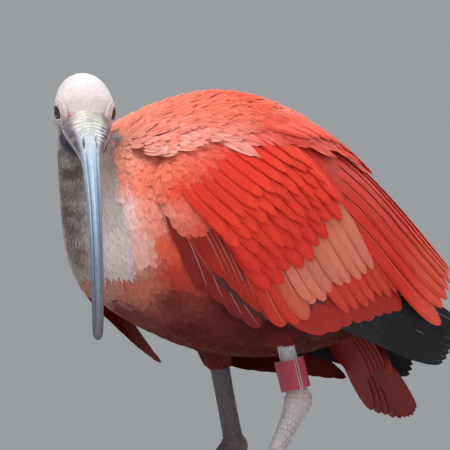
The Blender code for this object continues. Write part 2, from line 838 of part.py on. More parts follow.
def gather():
    """Hangs every node on one empty at the middle of the bird's bounding box."""
    carrier = bpy.data.objects.new("bird", None)
    bpy.context.scene.collection.objects.link(carrier)
    group = bpy.data.collections.new("scarlet_ibis")
    bpy.context.scene.collection.children.link(group)
    for thing in list(bpy.context.scene.objects):
        if thing.type == "MESH":
            thing.parent = carrier
        for owner in list(thing.users_collection):
            owner.objects.unlink(thing)
        group.objects.link(thing)
    carrier.location = -MIDDLE * MM


clear_scene()
build_torso_and_neck()
build_head()
build_bill()
build_wings()
build_tail()
for leg_side in ("left", "right"):
    build_leg(leg_side)
    build_foot(leg_side)
build_band()
gather()
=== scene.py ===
"""Scarlet ibis: skin, feathers, bill, eyes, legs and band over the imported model.

Body sizes are in millimetres from a working origin on the floor between the feet, as in the part's
source. The bird faces -Y and its left side is at +X.
"""

import math

import bmesh
import bpy
import numpy as np
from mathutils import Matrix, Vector
from mathutils.bvhtree import BVHTree
from mathutils.kdtree import KDTree


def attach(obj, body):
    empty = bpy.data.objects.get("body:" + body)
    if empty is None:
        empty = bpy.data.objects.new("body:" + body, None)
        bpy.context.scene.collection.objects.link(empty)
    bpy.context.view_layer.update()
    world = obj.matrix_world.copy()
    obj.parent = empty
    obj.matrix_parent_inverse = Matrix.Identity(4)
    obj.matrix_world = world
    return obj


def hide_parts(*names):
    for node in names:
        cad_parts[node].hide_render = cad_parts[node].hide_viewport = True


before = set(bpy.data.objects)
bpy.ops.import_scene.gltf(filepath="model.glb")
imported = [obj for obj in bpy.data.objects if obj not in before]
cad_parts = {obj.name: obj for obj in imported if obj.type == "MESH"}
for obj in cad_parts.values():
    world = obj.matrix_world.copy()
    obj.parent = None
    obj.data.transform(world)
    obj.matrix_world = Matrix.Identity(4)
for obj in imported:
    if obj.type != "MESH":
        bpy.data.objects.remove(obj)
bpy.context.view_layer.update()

MM = 0.001
MIDDLE = np.array((6.2, 46.8, 0.0))
UP = np.array((0.0, 0.0, 1.0))

# Outer surface of the folded wings: place along Y, half width, top, widest height, bottom.
WING_SHELL = (
    (-56, 46, 224, 190, 152),
    (-30, 58, 242, 188, 132),
    (0, 64, 255, 186, 110),
    (30, 66, 260, 184, 98),
    (66, 63, 254, 180, 93),
    (100, 55, 238, 171, 90),
    (134, 43, 215, 158, 87),
    (165, 33, 190, 144, 84),
    (205, 21, 156, 126, 80),
)
# Folded arm and hand: place along Y with the angles of the lower and upper edge on the shell.
WING_CORE = (
    (-42, 0, 20),
    (-36, -14, 34),
    (-26, -24, 46),
    (-10, -36, 60),
    (10, -44, 70),
    (34, -48, 78),
    (60, -46, 80),
    (84, -40, 80),
    (106, -24, 76),
)
CORE_DEEP = 13.0
RIGHT_WING_DROOP = np.array((-2.0, -1.0, -6.0))

HEAD_CENTRE = np.array((6.4, -66.8, 242.5))
HEAD_YAW = math.radians(63.5)
HEAD_PITCH = math.radians(38)
EYE_PLACE = (9.6, 12.3, 1.8)
EYE_OUTWARD = (3.6, 10.0, 0.8)
EYE_RADIUS = 4.9

NECK = (
    (-1, -61, 238, 13.5),
    (5, -66, 222, 14.5),
    (8, -66, 204, 15.5),
    (8, -62, 186, 18.0),
    (7, -56, 168, 20.0),
    (5, -51, 154, 19.0),
    (3, -46, 143, 15.0),
    (2, -43, 137, 9.0),
)

# Bill sections along its arc: place, half width, height above the mouth line, depth below it.
BILL = (
    (-8, 7.2, 10.2, 7.4),
    (0, 7.6, 10.6, 7.4),
    (8, 7.2, 9.8, 6.9),
    (20, 6.1, 7.8, 5.6),
    (38, 5.0, 6.0, 4.5),
    (60, 4.2, 4.9, 3.7),
    (88, 3.6, 4.2, 3.1),
    (116, 3.3, 3.6, 2.6),
    (138, 3.0, 2.9, 2.1),
    (149, 2.6, 2.2, 1.5),
)
BILL_ROOT = (14.0, -3.0)
BILL_LENGTH = 149.0
BILL_DROOP_START = math.radians(-5)
BILL_DROOP_END = math.radians(52)

THIGH_END = {"left": (27, 57, 112), "right": (-27, 49, 100)}
ANKLE = {"left": (29, 65, 80), "right": (-29, 61, 54)}
FOOT = {"left": (27, 26, 8), "right": (-30, -7, 8)}
TOE_YAW = {"left": 10.0, "right": -6.0}
ANKLE_RADIUS = 7.4
TOES = (
    ("middle", 0, 62, 3.5),
    ("inner", -30, 48, 3.3),
    ("outer", 31, 52, 3.3),
    ("hind", 172, 27, 3.0),
)
TOE_REST = 2.6
TOE_FORWARD = 3.0
CLAW_LENGTH = 8.5

BAND_INNER = 7.3
BAND_WALL = 1.3
BAND_HEIGHT = 17.5
BAND_SLIT = 1.0
BAND_OPEN_AT = math.radians(-13)

TAIL_ROOT = np.array((0.0, 106.0, 144.0))
TAIL_DROP = math.radians(50)


def unit(vectors):
    return vectors / np.maximum(np.linalg.norm(vectors, axis=-1, keepdims=True), 1e-9)


def dot(a, b):
    return np.sum(a * b, axis=-1, keepdims=True)


def linear(colour):
    """Display values from 0 to 255 as scene-linear colour."""
    value = np.asarray(colour, float) / 255
    return np.where(value <= 0.04045, value / 12.92, ((value + 0.055) / 1.055) ** 2.4)


def washed(tint, colour, amount):
    """The tint moved toward a scene-linear colour by an amount for each point."""
    return tint + (colour - tint) * amount[..., None]


def smooth(value, low, high):
    t = np.clip((value - low) / (high - low), 0, 1)
    return t * t * (3 - 2 * t)


def bump_at(value, centre, width):
    return np.exp(-(((value - centre) / width) ** 2))


def curve(table, place):
    """The table's other columns at places along its first, on a smooth curve."""
    rows = np.asarray(table, float)
    place = np.clip(np.asarray(place, float), rows[0, 0], rows[-1, 0])
    k = np.clip(np.searchsorted(rows[:, 0], place, "right") - 1, 0, len(rows) - 2)
    a, b = rows[k], rows[k + 1]
    before, after = rows[np.maximum(k - 1, 0)], rows[np.minimum(k + 2, len(rows) - 1)]
    span = b[..., :1] - a[..., :1]
    t = (place[..., None] - a[..., :1]) / span
    slope_a = (b - before) / (b[..., :1] - before[..., :1]) * span
    slope_b = (after - a) / (after[..., :1] - a[..., :1]) * span
    value = (
        (2 * t**3 - 3 * t**2 + 1) * a
        + (t**3 - 2 * t**2 + t) * slope_a
        + (3 * t**2 - 2 * t**3) * b
        + (t**3 - t**2) * slope_b
    )
    return value[..., 1:]


def shell_point(place, angle, out):
    """A point on the wings' outer surface: angle 0 is the left side and 90 degrees the back."""
    width, top, middle, bottom = np.moveaxis(curve(WING_SHELL, place), -1, 0)
    rise = np.where(np.sin(angle) > 0, top - middle, middle - bottom)
    place = np.asarray(place) + 0 * angle
    return np.stack([(width + out) * np.cos(angle), place, middle + (rise + out) * np.sin(angle)], -1)


LEVEL = np.array((math.sin(HEAD_YAW), -math.cos(HEAD_YAW), 0.0))
AHEAD = LEVEL * math.cos(HEAD_PITCH) - UP * math.sin(HEAD_PITCH)
ASIDE = np.cross(UP, LEVEL)
ABOVE = np.cross(AHEAD, ASIDE)
HEAD_AXES = np.array((AHEAD, ASIDE, ABOVE))


def on_head(places):
    """Points given along the head's own forward, left and upward axes."""
    return HEAD_CENTRE + np.asarray(places, float) @ HEAD_AXES


def to_head(points):
    return (points - HEAD_CENTRE) @ HEAD_AXES.T


# Coat: place, colour, feather length, half width, depth over the skin. Left half, mirrored.
# The darker rows low on the body, on the lower breast, belly, lower flanks, thighs and under the tail, are the
# feathers' own red darkened as painted shade of the underside.
BODY_COAT = (
    ((0, -58, 205), (236, 206, 200), 8, 2.6, 1.2),
    ((0, -60, 178), (232, 204, 200), 9, 3.0, 1.4),
    ((22, -54, 186), (244, 216, 212), 10, 3.4, 1.4),
    ((30, -50, 168), (236, 186, 174), 11, 3.8, 1.5),
    ((26, -46, 148), (196, 112, 92), 12, 4.0, 1.6),
    ((8, -52, 150), (172, 122, 110), 12, 4.0, 1.6),
    ((18, -48, 214), (242, 150, 126), 9, 2.8, 1.4),
    ((36, -42, 204), (240, 128, 100), 10, 3.2, 1.5),
    ((40, -42, 186), (240, 130, 104), 11, 3.4, 1.5),
    ((43, -36, 172), (230, 96, 68), 11, 3.4, 1.5),
    ((42, -34, 152), (188, 62, 44), 12, 3.6, 1.6),
    ((34, -34, 136), (112, 34, 26), 12, 3.6, 1.6),
    ((0, -40, 132), (112, 52, 44), 12, 4.0, 1.6),
    ((16, -14, 117), (92, 19, 15), 13, 4.4, 1.6),
    ((22, 22, 109), (86, 16, 13), 14, 4.6, 1.6),
    ((16, 62, 108), (80, 14, 12), 15, 4.8, 1.6),
    ((46, 4, 138), (96, 20, 15), 13, 4.2, 1.6),
    ((40, 30, 124), (84, 16, 13), 13, 4.2, 1.6),
    ((0, 110, 118), (78, 13, 11), 17, 5.0, 1.8),
    ((0, -36, 234), (244, 134, 106), 10, 3.0, 1.6),
    ((26, -30, 232), (242, 122, 94), 12, 3.4, 1.8),
    ((0, 10, 254), (240, 98, 68), 20, 4.4, 2.5),
    ((0, 70, 246), (236, 78, 50), 22, 4.8, 2.5),
    ((0, 118, 200), (226, 66, 44), 22, 5.0, 2.5),
    ((50, -38, 196), (238, 84, 56), 9, 3.0, 1.6),
    ((58, -14, 196), (234, 52, 34), 12, 4.2, 1.8),
    ((58, 12, 186), (230, 46, 31), 14, 5.0, 1.8),
    ((58, 10, 214), (234, 56, 38), 13, 4.6, 1.8),
    ((52, -22, 164), (226, 48, 32), 12, 4.0, 1.8),
    ((52, 40, 200), (230, 48, 32), 16, 5.2, 1.8),
    ((27, 46, 114), (104, 22, 18), 10, 3.4, 1.6),
)
# The same down the neck, where nothing is mirrored: the throat side is darker, partly the feathers' own mottled
# grey and partly painted shade under the head and bill.
NECK_COAT = (
    ((18, -80, 222), (84, 76, 76), 4.6, 0.42, 0.9),
    ((12, -82, 224), (92, 84, 84), 4.6, 0.42, 0.9),
    ((14, -82, 204), (84, 74, 72), 5.2, 0.46, 1.0),
    ((12, -82, 184), (92, 80, 76), 6, 0.5, 1.1),
    ((11, -80, 166), (116, 102, 96), 7, 0.6, 1.3),
    ((-4, -81, 214), (120, 108, 104), 5, 0.45, 1.0),
    ((-9, -76, 206), (208, 192, 188), 5, 0.45, 1.0),
    ((-10, -76, 188), (210, 192, 188), 6, 0.5, 1.1),
    ((-11, -70, 166), (212, 190, 184), 7, 0.6, 1.3),
    ((24, -70, 216), (186, 172, 170), 5, 0.45, 1.0),
    ((26, -66, 200), (198, 182, 178), 5.5, 0.48, 1.0),
    ((27, -62, 184), (206, 188, 184), 6.5, 0.55, 1.2),
    ((27, -60, 170), (220, 198, 194), 7.5, 0.65, 1.3),
    ((4, -50, 222), (214, 196, 192), 5, 0.45, 1.0),
    ((-8, -52, 205), (214, 194, 190), 6, 0.5, 1.0),
)
# The same on the head, placed forward, left and up from its centre. The rows grow darker down the sides to the
# chin and under the head as painted shade, and the right side's rows are a touch darker than the left's as painted
# shade.
HEAD_COAT = (
    ((2, 0, 17), (236, 224, 224), 3.4, 0.34, 0.7),
    ((12, 0, 12), (236, 222, 222), 2.8, 0.3, 0.6),
    ((16, 5, 8), (226, 208, 210), 2.4, 0.28, 0.5),
    ((16, -5, 8), (226, 208, 210), 2.4, 0.28, 0.5),
    ((4, 15, 9), (224, 214, 216), 3.0, 0.32, 0.6),
    ((4, -15, 9), (224, 214, 216), 3.0, 0.32, 0.6),
    ((-14, 0, 14), (230, 216, 214), 4.0, 0.4, 0.8),
    ((-4, 16, -4), (206, 192, 192), 4.2, 0.4, 0.9),
    ((-4, -16, -4), (204, 192, 192), 4.2, 0.4, 0.9),
    ((7, 15.5, -7), (186, 174, 174), 4.0, 0.36, 0.9),
    ((7, -15.5, -7), (182, 170, 171), 4.0, 0.36, 0.9),
    ((4, 15, -13), (150, 140, 141), 4.2, 0.38, 1.0),
    ((4, -15, -13), (146, 136, 138), 4.2, 0.38, 1.0),
    ((12, 0, -17), (76, 70, 74), 3.4, 0.34, 0.8),
    ((-2, 0, -18), (84, 76, 78), 4.2, 0.4, 0.9),
    ((-22, 0, 0), (216, 200, 197), 4.4, 0.42, 0.9),
)
# Lie of the coat: place and direction. Left half, mirrored.
BODY_FLOW = (
    ((0, -58, 200), (0, -0.1, -1)),
    ((0, -59, 170), (0, 0.15, -1)),
    ((0, -46, 138), (0, 0.7, -0.8)),
    ((0, -20, 117), (0, 1, -0.25)),
    ((0, 30, 106), (0, 1, 0)),
    ((0, 80, 107), (0, 1, 0.1)),
    ((0, 120, 122), (0, 1, 0.2)),
    ((20, -54, 206), (0.3, 0.1, -1)),
    ((28, -50, 192), (0.3, 0.2, -1)),
    ((36, -46, 162), (0.12, 0.35, -1)),
    ((40, -38, 206), (0.3, 0.5, -0.8)),
    ((22, -44, 224), (0.45, 0.35, -0.75)),
    ((44, -22, 134), (0, 0.8, -0.6)),
    ((45, 20, 120), (0, 1, -0.2)),
    ((36, 66, 118), (0, 1, -0.1)),
    ((0, -42, 232), (0, 0.8, 0.6)),
    ((0, 0, 255), (0, 1, 0.1)),
    ((0, 60, 254), (0, 1, -0.15)),
    ((0, 112, 212), (0, 0.8, -0.7)),
    ((16, -40, 234), (0.3, 0.75, 0.2)),
    ((30, -30, 234), (0.3, 0.9, -0.3)),
    ((45, 20, 242), (0.2, 1, -0.28)),
    ((46, 70, 226), (0.05, 1, -0.5)),
    ((50, -34, 212), (0.25, 0.9, -0.5)),
    ((54, -40, 198), (0.2, 0.9, -0.5)),
    ((62, -10, 196), (0.05, 0.75, -0.65)),
    ((64, 20, 186), (0, 0.68, -0.75)),
    ((58, -22, 164), (0, 0.78, -0.62)),
    ((60, -2, 222), (0.1, 0.85, -0.5)),
    ((60, 60, 190), (0, 0.72, -0.7)),
    ((27, 44, 118), (0.05, 0.45, -1)),
)
NECK_FLOW = (
    ((18, -78, 222), (0, 0.05, -1)),
    ((10, -82, 200), (0, 0.1, -1)),
    ((8, -80, 172), (0, 0.2, -1)),
    ((-9, -70, 205), (0, 0.1, -1)),
    ((26, -60, 200), (0.05, 0.1, -1)),
    ((4, -50, 220), (0.05, 0.2, -1)),
)
HEAD_FLOW = (
    ((16, 0, 10), (-1, 0, 0.4)),
    ((0, 0, 17), (-1, 0, 0)),
    ((-16, 0, 12), (-0.7, 0, -0.8)),
    ((-24, 0, 0), (-0.2, 0, -1)),
    ((5, 16, 6), (-1, 0, -0.25)),
    ((5, -16, 6), (-1, 0, -0.25)),
    ((4, 16, -10), (-0.7, 0, -0.8)),
    ((4, -16, -10), (-0.7, 0, -0.8)),
    ((12, 0, -17), (-1, 0, -0.35)),
)


def both_sides(rows, *turned_columns):
    """The rows, then their copies across the middle plane with the given columns' X turned over."""
    made = []
    for row in rows:
        for sign in (1, -1) if row[0][0] else (1,):
            made.append(tuple(
                (sign * value[0], *value[1:]) if column in turned_columns else value
                for column, value in enumerate(row)
            ))
    return made


def coat_anchors(rows):
    """Places in working millimetres, and a row of colour, length, half width and depth for each."""
    places = np.array([row[0] for row in rows], float)
    return places, np.array([(*linear(row[1]), *row[2:]) for row in rows], float)


BODY_ANCHORS = coat_anchors(both_sides(BODY_COAT, 0))
NECK_ANCHORS = coat_anchors(NECK_COAT + tuple((on_head(row[0]), *row[1:]) for row in HEAD_COAT))
HEAD_LIES = tuple((on_head(place), np.array(way, float) @ HEAD_AXES) for place, way in HEAD_FLOW)
FLOW = (*both_sides(BODY_FLOW, 0, 1), *NECK_FLOW, *HEAD_LIES)
FLOW_PLACES = np.array([row[0] for row in FLOW], float)
FLOW_WAYS = unit(np.array([row[1] for row in FLOW], float))


def blended(points, places, rows, power):
    """Rows mixed at each point by nearness to their places."""
    gaps = np.linalg.norm(points[:, None] - places[None], axis=-1) + 0.5
    weights = gaps**-power
    return weights @ rows / weights.sum(1, keepdims=True)


def coat_at(points, anchors):
    row = blended(points, *anchors, 4.5)
    return row[:, :3], row[:, 3], row[:, 4], row[:, 5]


def lie_at(points):
    return unit(blended(points, FLOW_PLACES, FLOW_WAYS, 3.0))


def patches(points, size, seed):
    """A soft field from 0 to 1 over space, for blotches of about the given size."""
    rng = np.random.default_rng(seed)
    ways = unit(rng.normal(size=(9, 3))) * rng.uniform(0.7, 1.4, (9, 1)) * 2.2 / size
    value = np.sin(points @ ways.T + rng.uniform(0, 6.3, 9)).sum(-1) / 3.2
    return 0.5 + 0.5 * np.tanh(value)


def new_piece(name, vertices, corners, totals, finish):
    """A mesh from flat arrays: vertices in working millimetres, corner indices and corners a face."""
    mesh = bpy.data.meshes.new(name)
    mesh.vertices.add(len(vertices))
    mesh.vertices.foreach_set("co", (((vertices - MIDDLE) * MM).astype(np.float32)).ravel())
    mesh.loops.add(len(corners))
    mesh.loops.foreach_set("vertex_index", corners.astype(np.int32))
    mesh.polygons.add(len(totals))
    starts = np.concatenate([[0], np.cumsum(totals)[:-1]])
    mesh.polygons.foreach_set("loop_start", starts.astype(np.int32))
    mesh.update(calc_edges=True)
    mesh.validate()
    mesh.shade_smooth()
    piece = bpy.data.objects.new(name, mesh)
    bpy.context.scene.collection.objects.link(piece)
    mesh.materials.append(finish)
    return piece


def set_tint(piece, colours):
    layer = piece.data.color_attributes.new("tint", "FLOAT_COLOR", "POINT")
    rgba = np.ones((len(colours), 4), np.float32)
    rgba[:, :3] = colours
    layer.data.foreach_set("color", rgba.ravel())


def set_uv(piece, name, per_vertex, corners):
    layer = piece.data.uv_layers.new(name=name)
    layer.data.foreach_set("uv", per_vertex[corners].astype(np.float32).ravel())


def grid_faces(rows, columns, first_cap=True, last_cap=True):
    """Faces over a grid of closed rings, with caps as wanted."""
    faces = []
    for i in range(rows - 1):
        for j in range(columns):
            k = (j + 1) % columns
            faces.append((i * columns + j, i * columns + k, (i + 1) * columns + k, (i + 1) * columns + j))
    if first_cap:
        faces.append(tuple(range(columns - 1, -1, -1)))
    if last_cap:
        faces.append(tuple((rows - 1) * columns + j for j in range(columns)))
    return faces


def grid_piece(name, rings, finish, tints, slot, *replaced, caps=(True, True)):
    """A dressed piece: a closed skin over rings of like count, with a colour for each point."""
    rings = np.asarray(rings, float)
    faces = grid_faces(*rings.shape[:2], *caps)
    corners = np.array([index for face in faces for index in face])
    totals = np.array([len(face) for face in faces])
    piece = new_piece(name, rings.reshape(-1, 3), corners, totals, finish)
    work = bmesh.new()
    work.from_mesh(piece.data)
    bmesh.ops.recalc_face_normals(work, faces=work.faces)
    work.to_mesh(piece.data)
    work.free()
    piece.data.set_sharp_from_angle(angle=math.radians(55))
    set_tint(piece, np.asarray(tints, float).reshape(-1, 3))
    dress(piece, slot, *replaced)


def vane_template(rings, columns):
    """Faces of one closed vane: a fan-topped strip with a flat underside, a root cap and a tip point."""
    faces = []
    for i in range(rings - 1):
        for j in range(columns - 1):
            a = i * columns + j
            faces.append((a, a + 1, a + 1 + columns, a + columns))
        low, high = i * columns, (i + 1) * columns
        faces.append((low + columns - 1, low, high, high + columns - 1))
    tip = rings * columns
    last = (rings - 1) * columns
    for j in range(columns - 1):
        faces.append((last + j, last + j + 1, tip))
    faces.append((last + columns - 1, last, tip))
    faces.append(tuple(range(columns - 1, -1, -1)))
    return faces


class Coat:
    """Feathers gathered into one piece, with their tints, vane coordinates and baking patches."""

    def __init__(self, unwrap):
        self.unwrap = unwrap
        self.vertices, self.tints, self.vane, self.bake, self.pick = [], [], [], [], []
        self.corners, self.totals = [], []
        self.count = 0

    def add(self, points, across, normals, widths, columns, lift, tint, picks, stretch):
        """Vanes along points (n, rings + 1, 3). The last point is the tip; widths are (n, rings, 2)."""
        n, rings = points.shape[0], points.shape[1] - 1
        u = np.asarray(columns)
        side = np.where(u[None, None] < 0, widths[..., :1], widths[..., 1:])
        reach = side * u[None, None]
        body = (
            points[:, :-1, None]
            + across[:, :-1, None] * reach[..., None]
            + normals[:, :-1, None] * lift[..., None]
        )
        vertices = np.concatenate([body.reshape(n, -1, 3), points[:, -1:]], axis=1)
        faces = vane_template(rings, len(u))
        size = rings * len(u) + 1
        template = np.array([index for face in faces for index in face])
        offsets = self.count + np.arange(n) * size
        self.corners.append((template[None] + offsets[:, None]).ravel())
        self.totals.append(np.tile([len(face) for face in faces], n))
        steps = np.linalg.norm(np.diff(points, axis=1), axis=-1)
        far = np.concatenate([np.zeros((n, 1)), np.cumsum(steps, 1)], 1)
        along_vane = np.repeat(far[:, :-1, None], len(u), 2).reshape(n, -1)
        v = np.concatenate([along_vane, far[:, -1:]], 1)
        w = np.concatenate([reach.reshape(n, -1), np.zeros((n, 1))], 1)
        root = self.unwrap(points[:, 0])
        scale = stretch / np.maximum(far[:, -1:], 1e-6)
        patch = np.stack([w * scale, (v - far[:, -1:] / 2) * scale], -1)
        self.bake.append(np.clip(root[:, None] + patch, 0.001, 0.999).reshape(-1, 2))
        self.vane.append(np.stack([w, v], -1).reshape(-1, 2))
        self.vertices.append(vertices.reshape(-1, 3))
        self.tints.append(tint.reshape(-1, 3))
        self.pick.append(np.repeat(picks, size))
        self.count += n * size

    def make(self, name, finish, slot, *replaced):
        corners = np.concatenate(self.corners)
        piece = new_piece(name, np.concatenate(self.vertices), corners, np.concatenate(self.totals), finish)
        piece.data.set_sharp_from_angle(angle=math.radians(60))
        set_tint(piece, np.clip(np.concatenate(self.tints), 0, 1))
        set_uv(piece, "OFBake", np.concatenate(self.bake), corners)
        set_uv(piece, "vane", np.concatenate(self.vane), corners)
        layer = piece.data.attributes.new("pick", "FLOAT", "POINT")
        layer.data.foreach_set("value", np.concatenate(self.pick).astype(np.float32))
        dress(piece, slot, *replaced)
        return piece


def dress(piece, slot, *replaced):
    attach(piece, "root")
    if replaced:
        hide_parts(*replaced)


def body_unwrap(points):
    """Longitude and latitude about the trunk's long axis."""
    x, y, z = (points - np.array((0.0, 40.0, 180.0))).T
    turn = np.arctan2(x, z) / (2 * math.pi) + 0.5
    return np.stack([turn, np.arctan2(y / 1.6, np.hypot(x, z)) / math.pi + 0.5], -1)


def neck_unwrap(points):
    """Turn round the neck or head and height along it."""
    centre = np.array((6.0, -64.0))
    turn = np.arctan2(points[:, 0] - centre[0], points[:, 1] - centre[1]) / (2 * math.pi) + 0.5
    return np.stack([turn, (points[:, 2] - 130) / 140], -1)


def tail_unwrap(points):
    return np.stack([points[:, 0] / 60 + 0.5, (points[:, 1] - 90) / 120], -1)


def node(tree, kind, inputs=(), **settings):
    made = tree.nodes.new(kind)
    for name, value in settings.items():
        setattr(made, name, value)
    for socket, source in inputs:
        if isinstance(source, bpy.types.NodeSocket):
            tree.links.new(source, made.inputs[socket])
        else:
            made.inputs[socket].default_value = source
    return made


def maths(tree, operation, *terms):
    return node(tree, "ShaderNodeMath", list(enumerate(terms)), operation=operation).outputs[0]


def scaled(tree, colour, amount):
    made = node(tree, "ShaderNodeVectorMath", [(0, colour), ("Scale", amount)], operation="SCALE")
    return made.outputs[0]


def ranged(tree, value, low, high, to_low, to_high):
    inputs = [("Value", value), ("From Min", low), ("From Max", high), ("To Min", to_low), ("To Max", to_high)]
    return node(tree, "ShaderNodeMapRange", inputs).outputs[0]


def noise(tree, vector, scale, detail=3.0, roughness=0.55):
    inputs = [("Vector", vector), ("Scale", scale), ("Detail", detail), ("Roughness", roughness)]
    return node(tree, "ShaderNodeTexNoise", inputs).outputs["Fac"]


def new_finish(name, roughness, **sockets):
    finish = bpy.data.materials.new(name)
    finish.use_nodes = True
    shader = finish.node_tree.nodes["Principled BSDF"]
    shader.inputs["Roughness"].default_value = roughness
    for socket, value in sockets.items():
        shader.inputs[socket.replace("_", " ")].default_value = value
    return finish, finish.node_tree, shader


def bumped(tree, shader, height, strength, distance):
    inputs = [("Height", height), ("Strength", strength), ("Distance", distance)]
    made = node(tree, "ShaderNodeBump", inputs)
    tree.links.new(made.outputs[0], shader.inputs["Normal"])


def tint_of(tree):
    return node(tree, "ShaderNodeAttribute", attribute_name="tint").outputs["Color"]


def feather_finish(name, roughness, sheen, sheen_tint, streak, barb, spacing):
    """Barbs slanting from the shaft, as streaks of colour and as fine relief."""
    finish, tree, shader = new_finish(
        name, roughness, Sheen_Weight=sheen, Sheen_Tint=sheen_tint, Sheen_Roughness=0.5, Specular_IOR_Level=0.22
    )
    pick = node(tree, "ShaderNodeAttribute", attribute_name="pick").outputs["Fac"]
    place = node(tree, "ShaderNodeUVMap", uv_map="vane").outputs[0]
    parts = node(tree, "ShaderNodeSeparateXYZ", [(0, place)]).outputs
    off = maths(tree, "ABSOLUTE", parts[0])
    lean = maths(tree, "MULTIPLY_ADD", off, -1.25, parts[1])
    seat = node(tree, "ShaderNodeCombineXYZ", [
        (0, maths(tree, "MULTIPLY", lean, 1.0 / spacing)),
        (1, maths(tree, "MULTIPLY", off, 0.12)),
        (2, maths(tree, "MULTIPLY", pick, 61.0)),
    ]).outputs[0]
    strands = noise(tree, seat, 0.55, 3.0, 0.7)
    tree.links.new(
        scaled(tree, tint_of(tree), ranged(tree, strands, 0.3, 0.7, 1 - streak, 1 + streak)),
        shader.inputs["Base Color"],
    )
    fine = maths(tree, "SINE", maths(tree, "MULTIPLY", lean, 2 * math.pi / spacing))
    height = maths(tree, "MULTIPLY_ADD", fine, 0.3, strands)
    bumped(tree, shader, height, barb, 0.0004)
    return finish


def skin_finish(name, roughness, grain, mottle, bump, **sockets):
    """Skin, horn or scale: the tint broken by two sizes of noise, with fine wrinkles."""
    finish, tree, shader = new_finish(name, roughness, **sockets)
    place = node(tree, "ShaderNodeTexCoord").outputs["Object"]
    broad = noise(tree, place, grain, 4.0)
    fine = noise(tree, place, grain * 6, 3.0)
    both = maths(tree, "MULTIPLY_ADD", fine, 0.5, broad)
    tree.links.new(
        scaled(tree, tint_of(tree), ranged(tree, both, 0.45, 1.05, 1 - mottle, 1 + mottle)),
        shader.inputs["Base Color"],
    )
    bumped(tree, shader, both, bump, 0.0006)
    return finish


COAT_DOWN = feather_finish("coat_down", 0.8, 0.1, (0.95, 0.92, 0.92, 1), 0.06, 0.1, 0.5)
COAT_SOFT = feather_finish("coat_soft", 0.72, 0.12, (1.0, 0.7, 0.6, 1), 0.08, 0.15, 0.5)
COAT_VANE = feather_finish("coat_vane", 0.58, 0.1, (1.0, 0.6, 0.5, 1), 0.12, 0.3, 0.45)
COAT_FLIGHT = feather_finish("coat_flight", 0.46, 0.0, (1.0, 1.0, 1.0, 1), 0.1, 0.3, 0.45)
SKIN = skin_finish("bird_skin", 0.6, 450, 0.3, 0.5)
HORN = skin_finish("bill_horn", 0.34, 260, 0.22, 0.3, Coat_Weight=0.25, Coat_Roughness=0.3)
EYE = skin_finish("eye_gloss", 0.22, 900, 0.1, 0.0, Coat_Weight=0.35, Coat_Roughness=0.04)
SCALES = skin_finish("leg_scales", 0.52, 500, 0.2, 0.4)
CLAW = skin_finish("claw_horn", 0.35, 700, 0.3, 0.3)
BAND = skin_finish("band_plastic", 0.42, 380, 0.16, 0.2)


def arm_rings(sign):
    """The folded arm and hand under the coverts, as in the part's source."""
    rings = []
    places = np.linspace(-42, 106, 34)
    for place in places:
        low, high = curve(WING_CORE, place)
        end = min(place - places[0], places[-1] - place)
        fullness = min(1.0, (end + 2.0) / 14.0) ** 0.5
        share = np.linspace(0, 1, 15)
        angle = np.radians(low + (high - low) * share)
        edge = np.maximum(0.0, 1 - np.abs(2 * share - 1) ** 4) ** 0.5
        depth = 1.2 + (CORE_DEEP - 4.0) * fullness * edge
        middle = -3.0 - CORE_DEEP / 2 * (1 - fullness * 0.6)
        outer = shell_point(place, angle, middle + 1.5 * fullness * edge)
        inner = shell_point(place, angle, middle - depth)
        ring = np.concatenate([outer, inner[::-1]])
        if sign < 0:
            ring = ring * (-1, 1, 1) + RIGHT_WING_DROOP
        rings.append(ring)
    return np.array(rings)


def arm_share(points):
    """1 on the folded arm and 0 clear of it."""
    angle = shell_angle(points)
    low, high = np.moveaxis(curve(WING_CORE, points[:, 1]), -1, 0)
    inside = np.minimum(angle - low, high - angle)
    onward = np.minimum(points[:, 1] + 44, 108 - points[:, 1])
    return smooth(inside, -5, 2) * smooth(onward, -2, 3)


def remeshed(thing, voxel):
    modifier = thing.modifiers.new("remesh", "REMESH")
    modifier.mode = "VOXEL"
    modifier.voxel_size = voxel
    softened = thing.modifiers.new("smooth", "SMOOTH")
    softened.factor = 0.5
    softened.iterations = 3
    graph = bpy.context.evaluated_depsgraph_get()
    graph.update()
    mesh = bpy.data.meshes.new_from_object(thing.evaluated_get(graph))
    thing.modifiers.clear()
    thing.data = mesh


SKIN_VOXEL = 0.0011
FLESH = ("head", "neck_upper", "neck_lower", "torso", "thigh_left", "thigh_right")
JOIN_GROW = 0.4


